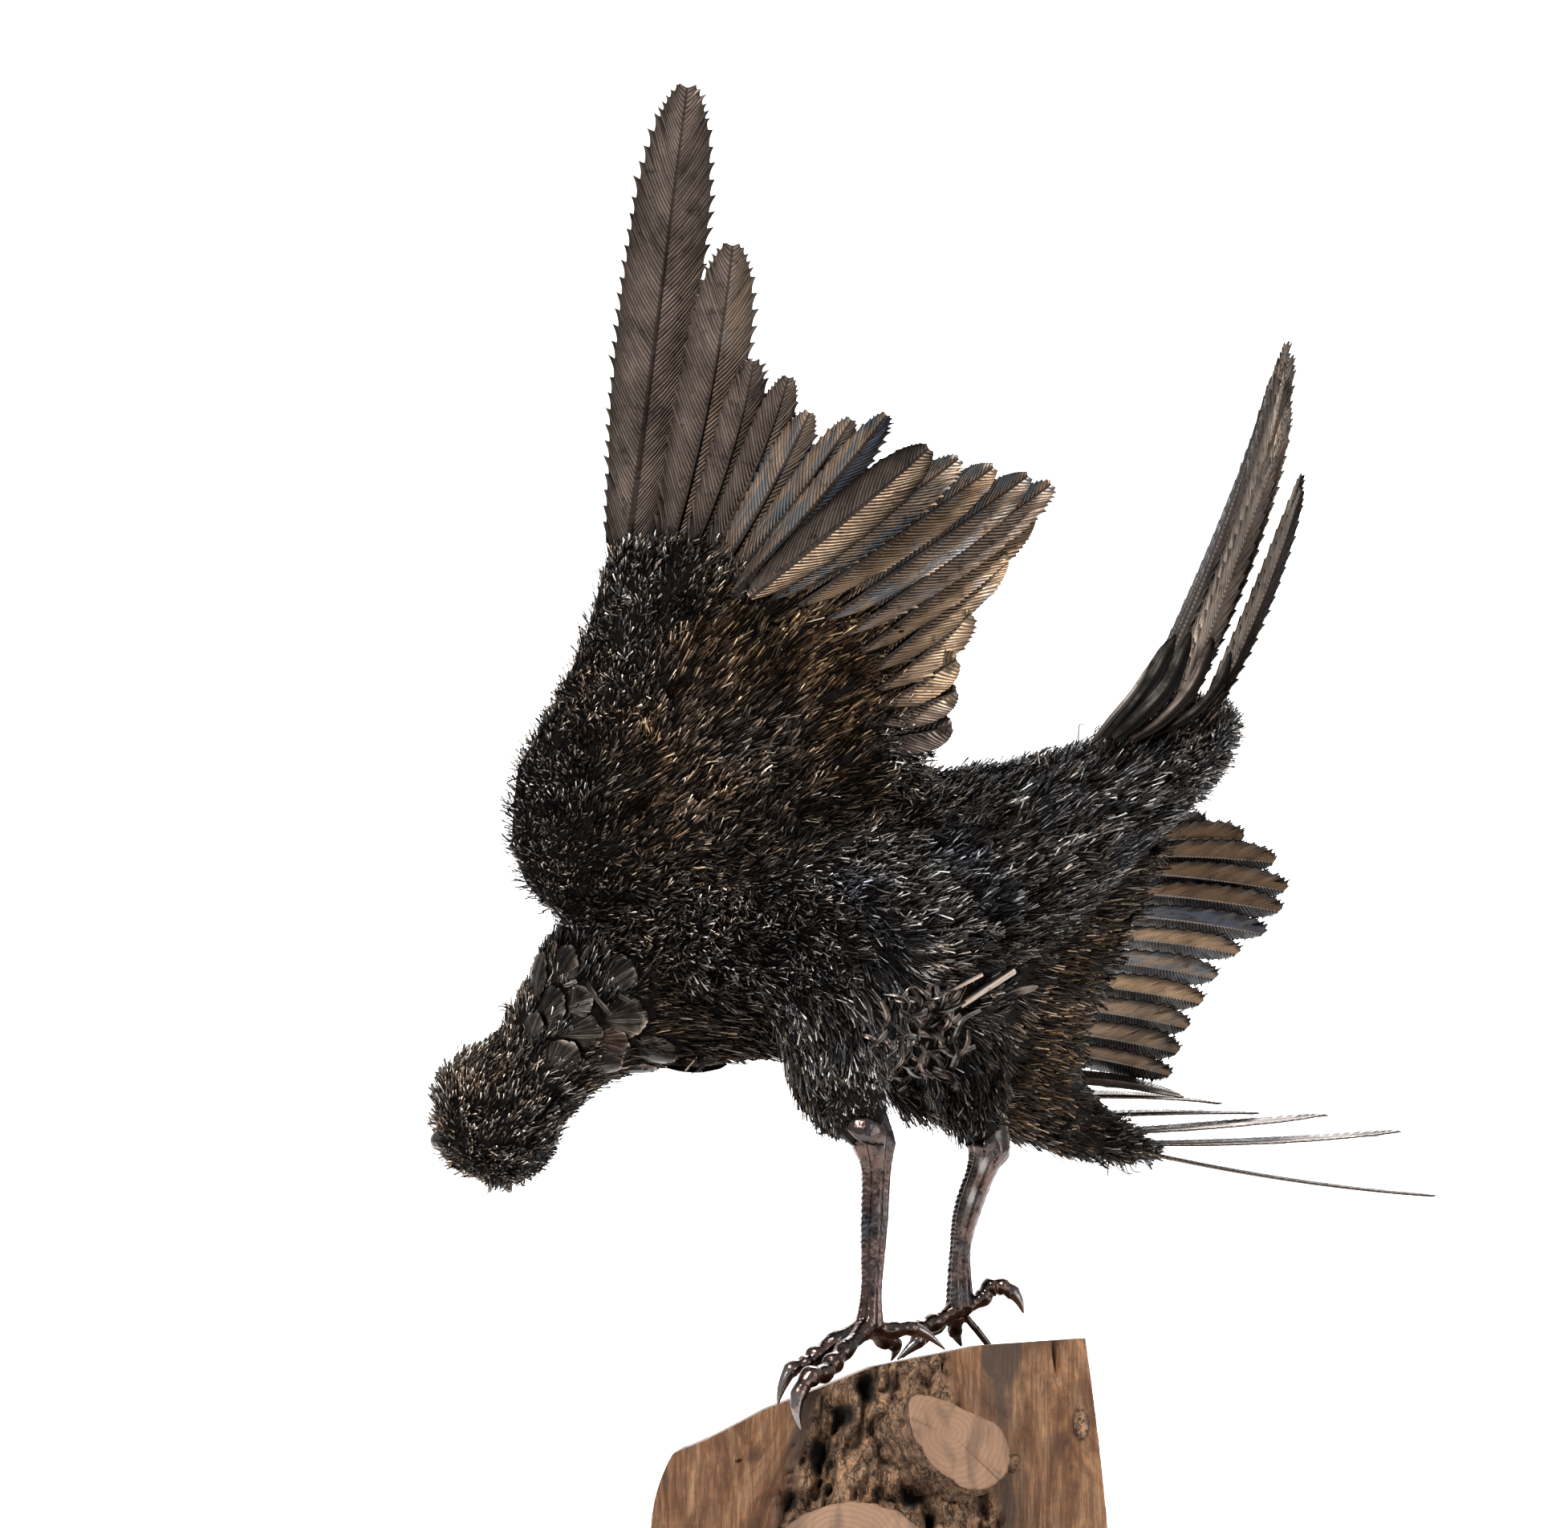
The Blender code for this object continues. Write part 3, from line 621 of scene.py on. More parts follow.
@dataclass(frozen=True)
class ScaleFinish:
    """Dark scale plates with fine lines from the root, whose bright end is painted glints, and a bright rim
    that is partly worn steel and partly a painted highlight.
    """

    name: str = "scale_plate"
    dark: Colour = (0.010, 0.008, 0.007)
    body: Colour = (0.028, 0.023, 0.019)
    worn_and_highlight: Colour = (0.40, 0.33, 0.27)
    roughness: float = 0.27
    glint: float = 4.2          # how much brighter the painted glints on the lines are

    def build(self) -> bpy.types.Material:
        """Make the material.

        Returns:
            The material.
        """
        net = Net(self.name, self.roughness, 1.0)
        rays = net.noise(1.0, 3.0, 0.7, net.mapped((1.25, 0.8, 1.0), net.flat()))
        # The bright end of the lines is painted glints.
        bright = tuple(min(1.0, value * self.glint) for value in self.body)
        colour = net.ramp(rays, ((0.42, self.dark), (0.53, self.body), (0.66, bright)))
        stain = net.noise(110.0, 4.0, 0.6)
        colour = net.mix(net.ramp(stain, ((0.46, 0.0), (0.62, 0.8))), colour, self.dark)
        # The rim is brightened in patches: partly wear, partly a painted highlight.
        wear_and_highlight = net.ramp(net.noise(230.0, 3.0), ((0.50, 0.0), (0.62, 0.9)))
        colour = net.mix(net.sum("MULTIPLY", net.own("fringe"), wear_and_highlight), colour, self.worn_and_highlight)
        net.out(Base_Color=colour, Normal=net.bump(rays, 0.6, 0.0004),
                Roughness=net.ramp(stain, ((0.3, self.roughness - 0.07), (0.7, self.roughness + 0.13))))
        return net.material


@dataclass(frozen=True)
class ForgedFinish:
    """Forged and polished leg steel, brown to blue-black, bright on the claws and at a few shank spots where
    a reflection is painted.
    """

    name: str = "forged_leg"

    def build(self) -> bpy.types.Material:
        """Make the material.

        Returns:
            The material.
        """
        net = Net(self.name, 0.28, 1.0)
        heat = net.noise(70.0, 5.0, 0.6, twist=0.8)
        colour = net.ramp(heat, ((0.30, (0.075, 0.074, 0.080)), (0.45, (0.078, 0.062, 0.057)),
                                 (0.58, (0.140, 0.090, 0.076)), (0.72, (0.075, 0.057, 0.051))))
        grime = net.ramp(net.noise(260.0, 5.0, 0.7), ((0.50, 0.0), (0.66, 0.8)))
        colour = net.mix(grime, colour, (0.010, 0.008, 0.008))
        # The polish value brightens the polished claws and paints reflections on the far shank.
        colour = net.mix(net.own("polish_and_reflection"), colour, (0.30, 0.275, 0.26))
        rough = net.mix(net.own("polish_and_reflection"), net.ramp(net.noise(300.0, 3.0), ((0.3, 0.10), (0.7, 0.24))),
                        (0.16, 0.16, 0.16))
        net.out(Base_Color=colour, Roughness=rough,
                Normal=net.bump(net.noise(900.0, 4.0, 0.6), 0.30, 0.0003))
        return net.material


@dataclass(frozen=True)
class HornFinish:
    """Satin beak steel."""

    name: str = "beak_steel"

    def build(self) -> bpy.types.Material:
        """Make the material.

        Returns:
            The material.
        """
        net = Net(self.name, 0.32, 1.0)
        colour = net.ramp(net.noise(180.0, 5.0), ((0.3, (0.060, 0.052, 0.046)), (0.7, (0.20, 0.17, 0.145))))
        net.out(Base_Color=colour, Normal=net.bump(net.noise(1500.0, 3.0), 0.25, 0.0002))
        return net.material


@dataclass(frozen=True)
class BeadFinish:
    """Glossy black eye."""

    name: str = "eye_bead"

    def build(self) -> bpy.types.Material:
        """Make the material.

        Returns:
            The material.
        """
        net = Net(self.name, 0.06, 0.0)
        net.out(Base_Color=net.ramp(net.noise(500.0, 3.0), ((0.3, (0.006, 0.006, 0.007)),
                                                            (0.7, (0.020, 0.018, 0.017)))),
                Coat_Weight=0.6)
        return net.material


@dataclass(frozen=True)
class TrunkFinish:
    """Sawn and sanded wood that runs into dark rough bark where the mesh says so."""

    name: str = "trunk_wood"

    def build(self) -> bpy.types.Material:
        """Make the material.

        Returns:
            The material.
        """
        net = Net(self.name, 0.62, 0.0)
        warp = net.noise(14.0, 4.0, 0.6, twist=0.8)
        bands = net.noise(1.0, 7.0, 0.66, net.mapped((42.0, 42.0, 11.0), turn=(0.12, 0.30, 0.0)), 2.2)
        figure = net.noise(1.0, 5.0, 0.6, net.mapped((95.0, 95.0, 160.0), turn=(0.0, -0.5, 0.0)), 1.2)
        line = net.noise(1.0, 5.0, 0.75, net.mapped((650.0, 650.0, 40.0), turn=(0.12, 0.25, 0.0)), 0.6)
        wood = net.ramp(bands, ((0.32, (0.036, 0.016, 0.008)), (0.43, (0.104, 0.048, 0.023)),
                                (0.53, (0.194, 0.102, 0.053)), (0.68, (0.290, 0.167, 0.094))))
        sheen = net.mix(1.0, wood, (1.35, 1.25, 1.10), "MULTIPLY")
        wood = net.mix(net.ramp(figure, ((0.46, 0.0), (0.62, 0.8))), wood, sheen)
        wood = net.mix(net.ramp(line, ((0.42, 0.65), (0.58, 0.0))), wood, (0.060, 0.026, 0.012))
        # The stain value holds real stains and the split, and also painted shade beside the bark and a
        # painted shadow band.
        stain = net.ramp(net.sum("ADD", warp, net.sum("MULTIPLY", net.own("stain"), 0.5)),
                         ((0.60, 0.0), (0.85, 0.85)))
        wood = net.mix(stain, wood, (0.040, 0.026, 0.019))
        crust = net.noise(1.0, 8.0, 0.80, net.mapped((190.0, 190.0, 120.0)), 0.6)
        folds = net.sum("PINGPONG", net.noise(1.0, 6.0, 0.75, net.mapped((120.0, 120.0, 70.0)), 0.8), 0.08)
        bark = net.ramp(crust, ((0.36, (0.034, 0.019, 0.011)), (0.45, (0.143, 0.083, 0.048)),
                                (0.53, (0.286, 0.180, 0.112)), (0.60, (0.410, 0.215, 0.104)),
                                (0.70, (0.430, 0.335, 0.245))))
        bark = net.mix(net.ramp(folds, ((0.012, 0.92), (0.028, 0.0))), bark, (0.014, 0.009, 0.007))
        # The pit value darkens the bark: painted shade in pits and cracks, and a darker rim on the sawn
        # branches.
        bark = net.mix(net.own("pit"), bark, (0.012, 0.008, 0.006))
        colour = net.mix(net.own("bark"), wood, bark)
        rough = net.mix(net.own("bark"), (0.52, 0.52, 0.52), (0.90, 0.90, 0.90))
        relief = net.mix(net.own("bark"), net.sum("MULTIPLY", line, 0.35), crust)
        net.shader.inputs["Specular IOR Level"].default_value = 0.22
        net.out(Base_Color=colour, Roughness=rough, Normal=net.bump(relief, 0.8, 0.0020))
        return net.material


@dataclass(frozen=True)
class CutEndFinish:
    """Sawn branch end with rings round its heart and cracks that run out from it."""

    name: str
    heart: Point
    way: Point

    def build(self) -> bpy.types.Material:
        """Make the material.

        Returns:
            The material.
        """
        net = Net(self.name, 0.58, 0.0)
        turn = Vector(self.way).to_track_quat("Z", "Y").inverted().to_euler()
        centred = net.mapped((1, 1, 1), shift=tuple(-value for value in self.heart))
        local = net.mapped((1, 1, 1), centred, turn=tuple(turn))
        rings = net.nodes.new("ShaderNodeTexWave")
        rings.wave_type = "RINGS"
        rings.rings_direction = "Z"
        net.feed(rings.inputs["Vector"], local)
        for name, value in (("Scale", 130.0), ("Distortion", 9.0), ("Detail", 6.0), ("Detail Scale", 0.35)):
            rings.inputs[name].default_value = value
        net.shader.inputs["Specular IOR Level"].default_value = 0.22
        wood = net.ramp(rings.outputs["Fac"], ((0.0, (0.215, 0.123, 0.073)), (0.5, (0.236, 0.139, 0.085)),
                                               (1.0, (0.245, 0.146, 0.091))))
        patch = net.ramp(net.noise(60.0, 5.0, 0.6), ((0.40, 0.0), (0.62, 0.6)))
        wood = net.mix(patch, wood, (0.165, 0.092, 0.056))
        broad = net.noise(1.0, 5.0, 0.6, net.mapped((34.0, 34.0, 12.0), centred, turn=(0.0, 0.6, 0.0)), 3.0)
        wood = net.mix(net.ramp(broad, ((0.50, 0.0), (0.64, 0.75))), wood, (0.105, 0.062, 0.043))
        split = net.nodes.new("ShaderNodeSeparateXYZ")
        net.feed(split.inputs[0], local)
        angle = net.sum("ARCTAN2", split.outputs[1], split.outputs[0])
        ray = net.nodes.new("ShaderNodeCombineXYZ")
        net.feed(ray.inputs[0], angle)
        cracks = net.noise(3.1, 2.0, 0.5, ray.outputs[0])
        wood = net.mix(net.ramp(cracks, ((0.655, 0.0), (0.675, 0.70))), wood, (0.060, 0.035, 0.022))
        net.out(Base_Color=wood, Normal=net.bump(rings.outputs["Fac"], 0.3, 0.0004))
        return net.material


# Plumage

@dataclass(frozen=True)
class Comb:
    """How slivers lie round one place: where they point, how tousled, warm and long they are, and how much
    they are brightened, partly pale steel and partly painted glints.
    """

    place: Point
    flow: Point
    mess: float = 0.3
    warmth: float = 0.4
    light: float = 0.0
    long: float = 1.0


COMBS = (
    # near wing, seen side
    Comb((-68, -60, 297), (0.62, 0, 0.78), 0.12, 0.95, 0.08, 1.1),
    Comb((-30, -60, 300), (0.78, 0, 0.62), 0.12, 1.00, 0.12, 1.1),
    Comb((-16, -52, 262), (0.85, 0, 0.50), 0.20, 0.85, 0.0, 1.1),
    Comb((5, -50, 295), (0.86, 0, 0.50), 0.25, 0.95, 0.0, 0.8),
    Comb((12, -42, 265), (0.95, 0, 0.20), 0.80, 0.20, 0.25, 0.8),
    Comb((-103, -66, 330), (0.30, 0, 0.95), 0.55, 0.50, 0.40, 0.65),
    Comb((-60, -66, 338), (0.60, 0, 0.80), 0.35, 0.65, 0.0, 0.75),
    Comb((-122, -62, 300), (0.20, -0.2, 0.95), 0.70, 0.40, 0.40, 0.60),
    Comb((-150, -40, 245), (-0.2, -0.4, 0.70), 0.90, 0.35, 0.45, 0.60),
    Comb((-140, -34, 208), (0.5, 0, 0.6), 0.80, 0.40, 0.35, 0.70),
    Comb((-100, -45, 238), (0.68, 0, 0.73), 0.22, 0.85, 0.20),
    Comb((-60, -45, 230), (0.75, 0, 0.66), 0.40, 0.70),
    # near wing, hidden side
    Comb((-60, -40, 300), (0.70, 0, 0.70), 0.30, 0.50),
    Comb((-120, -20, 230), (0.60, 0, 0.60), 0.50, 0.30),
    # head and neck
    Comb((-185, 0, 100), (0.45, -0.35, 0.85), 0.60, 0.45, 0.95, 0.75),
    Comb((-165, -12, 112), (0.50, -0.30, 0.80), 0.45, 0.55, 0.90, 0.62),
    Comb((-160, 30, 90), (0.10, -0.85, 0.45), 0.50, 0.30, 0.10, 0.50),
    Comb((-150, -8, 135), (0.60, -0.1, 0.80), 0.40, 0.45, 0.45, 0.80),
    Comb((-135, -22, 165), (0.55, 0, 0.85), 0.25, 0.40, 0.0, 0.85),
    Comb((-110, -34, 185), (0.90, 0, 0.25), 0.55, 0.70),
    Comb((-120, 25, 165), (0.75, 0, 0.65), 0.35, 0.35, 0.0, 0.8),
    Comb((-85, -18, 135), (1.0, 0, 0.08), 0.10, 0.70),
    # trunk
    Comb((-75, -45, 190), (0.90, 0, -0.2), 0.80, 0.45, 0.30),
    Comb((-30, -50, 180), (0.90, 0, -0.3), 0.75, 0.20, 0.30),
    Comb((-40, -20, 118), (0.75, 0, -0.65), 0.30, 0.40),
    Comb((35, -45, 205), (0.82, 0, 0.45), 0.40, 0.15, 0.50),
    Comb((60, -40, 225), (0.80, 0, 0.55), 0.28, 0.08, 0.42),
    Comb((90, -30, 250), (0.78, 0, 0.62), 0.28, 0.12, 0.25),
    Comb((40, 4, 262), (0.95, 0, 0.20), 0.50, 0.20, 0.0, 0.75),
    Comb((125, -5, 290), (0.50, 0, 0.85), 0.40, 0.50, 0.0, 0.8),
    Comb((150, 0, 272), (0.60, 0, 0.80), 0.75, 0.15, 0.55, 0.7),
    Comb((100, -25, 215), (0.85, 0, 0.45), 0.25, 0.30),
    Comb((-40, 48, 195), (0.90, 0, 0.15), 0.55, 0.20),
    Comb((60, 45, 225), (0.85, 0, 0.40), 0.45, 0.15),
    Comb((-20, 0, 135), (0.95, 0, -0.1), 0.40, 0.30),
    Comb((60, 0, 175), (0.95, 0, 0.3), 0.40, 0.40),
    # thighs
    Comb((-10, -45, 150), (0.15, -0.35, -1.0), 0.30, 0.10, 1.00, 1.1),
    Comb((-8, -34, 112), (0.05, 0, -1.0), 0.40, 0.15, 0.30, 0.40),
    Comb((38, 30, 130), (0.15, 0, -1.0), 0.40, 0.15, 0.10),
    Comb((48, 34, 104), (0.05, 0, -1.0), 0.50, 0.10, 0.0, 0.40),
    # far wing
    Comb((70, 50, 170), (0.90, 0.35, -0.12), 0.12, 0.90, 0.20),
    Comb((110, 50, 215), (0.90, 0.30, 0.10), 0.15, 0.65),
    Comb((60, 60, 130), (0.90, 0.40, -0.15), 0.12, 0.80, 0.20),
    Comb((95, 90, 115), (0.85, 0.50, -0.10), 0.15, 0.70, 0.10, 0.7),
    Comb((30, 40, 112), (0.90, 0.30, -0.25), 0.30, 0.45),
    Comb((110, 110, 98), (0.85, 0.50, -0.05), 0.35, 0.50, 0.0, 0.8),
    Comb((70, 100, 150), (0.80, 0.55, -0.05), 0.30, 0.40),
)


@dataclass
class Plumage:
    """The coat of chopped slivers that covers the head, the trunk, the thighs and both wing arms."""

    bare: list[tuple[np.ndarray, float]]
    combs: tuple[Comb, ...] = COMBS
    slivers: int = 95000
    locks: int = 5200
    length: tuple[float, float] = (0.0080, 0.0160)
    width: tuple[float, float] = (0.00048, 0.00108)
    thickness: float = 0.0004
    sink: float = 0.0010
    lift: float = 7.0           # degrees that a combed sliver stands off the skin
    tousle: float = 34.0        # further degrees where it is most tousled
    gather: float = 0.45        # how far the slivers of a lock lean to its tip
    reach: float = 26.0         # parts over which one comb gives way to the next
    seed: int = 11

    def skin(self) -> tuple[np.ndarray, np.ndarray, np.ndarray]:
        """Read the skin's triangles.

        Returns:
            Their corners, the smooth normals at those corners, and their areas.
        """
        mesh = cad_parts["plumed_body"].data
        mesh.calc_loop_triangles()
        points = read_rows(mesh.vertices, "co")
        tris = np.zeros(len(mesh.loop_triangles) * 3, np.int32)
        mesh.loop_triangles.foreach_get("vertices", tris)
        tris = tris.reshape(-1, 3)
        _, same = np.unique(np.round(points, 6), axis=0, return_inverse=True)
        same = same.ravel()
        corners = points[tris]
        cross = np.cross(corners[:, 1] - corners[:, 0], corners[:, 2] - corners[:, 0])
        total = np.zeros((same.max() + 1, 3))
        for k in range(3):
            np.add.at(total, same[tris[:, k]], cross)
        return corners, unit(total)[same[tris]], np.linalg.norm(cross, axis=1) / 2

    def blend(self, places: np.ndarray) -> np.ndarray:
        """Weights of the combs at some places.

        Args:
            places: Places in metres.

        Returns:
            One row a place and one column a comb, adding up to 1.
        """
        centres = np.array([spot(*comb.place) for comb in self.combs])
        far = ((places[:, None] - centres[None]) ** 2).sum(-1) / (self.reach * MM) ** 2
        weights = 1.0 / (far + 0.02) ** 2.2
        return weights / weights.sum(1, keepdims=True)

    def nearest_lock(self, places: np.ndarray) -> np.ndarray:
        """Which sliver leads the lock of each sliver; the first ones lead.

        Args:
            places: The slivers' roots, in metres.

        Returns:
            The leader's number for each sliver.
        """
        tree = KDTree(self.locks)
        for number, place in enumerate(places[:self.locks]):
            tree.insert(place, number)
        tree.balance()
        return np.array([tree.find(place)[1] for place in places])

    def groups(self, places: np.ndarray) -> dict[str, np.ndarray]:
        """Which slivers belong to which piece.

        Args:
            places: The slivers' roots, in metres.

        Returns:
            A mask for each piece's name.
        """
        across, deep, up = (places / MM).T
        up = up - PERCH / MM
        head = (across < -96) & (up < 196)
        far = (deep > 44) & (across > -15) & (up < 235)
        wing = (deep < -34) & (up > 205) & (across < 26) & ~head
        thigh = (up < 150) & (across > -40) & ~far & ~head
        trunk = ~(head | far | wing | thigh)
        return {"head_plumage": head, "far_wing_plumage": far, "near_wing_plumage": wing,
                "thigh_plumage": thigh, "trunk_plumage": trunk}

    def build(self, finish: bpy.types.Material) -> None:
        """Scatter, comb and dress the slivers.

        Args:
            finish: The chopped steel.
        """
        rng = np.random.default_rng(self.seed)
        corners, normals, areas = self.skin()
        count = self.slivers
        pick = rng.choice(len(areas), count, p=areas / areas.sum())
        one, two = rng.random((2, count))
        over = one + two > 1
        one[over], two[over] = 1 - one[over], 1 - two[over]
        shares = np.stack([1 - one - two, one, two], 1)[..., None]
        roots = (corners[pick] * shares).sum(1)
        up = unit((normals[pick] * shares).sum(1))
        clear = np.ones(count, bool)
        for place, radius in self.bare:
            clear &= ((roots - place) ** 2).sum(1) > radius ** 2
        roots, up = roots[clear], up[clear]
        count = len(roots)
        weights = self.blend(roots)
        flow = weights @ np.array([unit(np.array(comb.flow, float)) for comb in self.combs])
        mess, warmth, light, scale = (weights @ np.array([(comb.mess, comb.warmth, comb.light, comb.long)
                                                          for comb in self.combs])).T
        tangent = unit(flow - up * (flow * up).sum(1, keepdims=True))
        side = np.cross(up, tangent)
        lock = self.nearest_lock(roots)
        turned = rng.normal(0, 1, self.locks)[lock] * (0.12 + 0.60 * mess)
        raised = np.abs(rng.normal(0, 1, self.locks))[lock] * (4 + 10 * mess)
        swing = np.radians(rng.normal(0, 1, count) * (6 + 44 * mess ** 1.3)) + turned
        rise = np.radians(self.lift + np.abs(rng.normal(0, 1, count)) * (3 + self.tousle * mess ** 1.5)
                          + raised)
        rise = np.minimum(rise, 1.15)
        heading = tangent * np.cos(swing)[:, None] + side * np.sin(swing)[:, None]
        way = heading * np.cos(rise)[:, None] + up * np.sin(rise)[:, None]
        aim = roots[lock] + unit(way[lock] + tangent[lock]) * self.length[1] * 1.3
        lean = self.gather * np.clip(1.2 - mess, 0, 1)
        way = unit(way * (1 - lean)[:, None] + unit(aim - roots) * lean[:, None])
        roll = rng.normal(0, 1, count) * (0.25 + 0.9 * mess)
        flank = unit(np.cross(way, up))
        crown = np.cross(flank, way)
        across = flank * np.cos(roll)[:, None] + crown * np.sin(roll)[:, None]
        below = np.cross(across, way)
        long = rng.uniform(*self.length, count) * (1 - 0.25 * mess) * scale
        wide = rng.uniform(*self.width, count)
        start = roots - up * self.sink
        tip = start + way * long[:, None]
        half = across * wide[:, None] / 2
        slant = way * (rng.uniform(-0.5, 0.5, count) * wide)[:, None]
        points = np.stack([start, tip - half - slant, tip + half + slant,
                           tip + below * self.thickness], 1)
        warmth = warmth + grain(roots, (40, 40, 40), 3) * 0.25 + rng.normal(0, 0.12, self.locks)[lock]
        shade = 0.52 + rng.normal(0, 0.20, self.locks)[lock] + grain(roots, (55, 55, 55), 13) * 0.35
        tones = {"warmth": np.clip(warmth, 0, 1), "light": light, "shade": np.clip(shade, 0, 1)}
        for name, mask in self.groups(roots).items():
            kept = points[mask].reshape(-1, 3)
            base = np.arange(len(kept) // 4)[:, None] * 4
            faces = np.concatenate([base + trio for trio in SLIVER_SIDES])
            shell = Shell()
            shell.add(kept, [faces], **{tone: np.repeat(value[mask], 4) for tone, value in tones.items()})
            place_piece(shell.piece(name, [finish]), "chopped_steel")


@dataclass
class Skin:
    """The skin under the slivers, which carries the plates and strips."""

    tree: BVHTree = field(init=False)

    def __post_init__(self) -> None:
        """Read the skin's solid."""
        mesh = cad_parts["plumed_body"].data
        self.tree = BVHTree.FromPolygons([vertex.co for vertex in mesh.vertices],
                                         [tuple(face.vertices) for face in mesh.polygons])

    def under(self, across: float, height: float) -> tuple[np.ndarray, np.ndarray]:
        """Where the skin is behind a point of the seen side.

        Args:
            across: Millimetres across.
            height: Millimetres over the plinth's underside.

        Returns:
            The place in metres and the way the skin faces there.
        """
        start = Vector((across * MM, FRONT, height * MM))
        place, way, _, _ = self.tree.ray_cast(start, Vector((0, 1, 0)))
        if place is None:
            place, way, _, _ = self.tree.find_nearest(Vector((across * MM, 0, height * MM)))
        return np.array(place), np.array(way)


# Flight and tail feathers

class Cut(Enum):
    """How a feather's edges are cut: tooth pitch, tooth depth and hook, in millimetres."""

    HOOKED = (7.0, 3.2, 2.4)
    TOOTHED = (2.7, 2.5, 2.2)
    BARBED = (4.6, 2.0, 1.6)
    COMBED = (2.4, 1.1, 0.8)
    FINE = (1.6, 0.7, 0.4)


@dataclass(frozen=True)
class Feather:
    """One feather: share along the roots, tip, width, bow, roll in degrees and lift, in parts."""

    share: float
    tip: Point
    width: float
    bow: float
    roll: float
    lift: float
    cut: Cut = Cut.COMBED
    left: Tint = Tint.BRONZE
    right: Tint = Tint.BRONZE


# Outline of a vane: share along the feather, and half width as a share of the widest
VANE = ((0.0, 0.44), (0.16, 0.66), (0.36, 0.92), (0.58, 1.0), (0.78, 0.95), (0.90, 0.72),
        (0.955, 0.50), (0.985, 0.30), (1.0, 0.12))


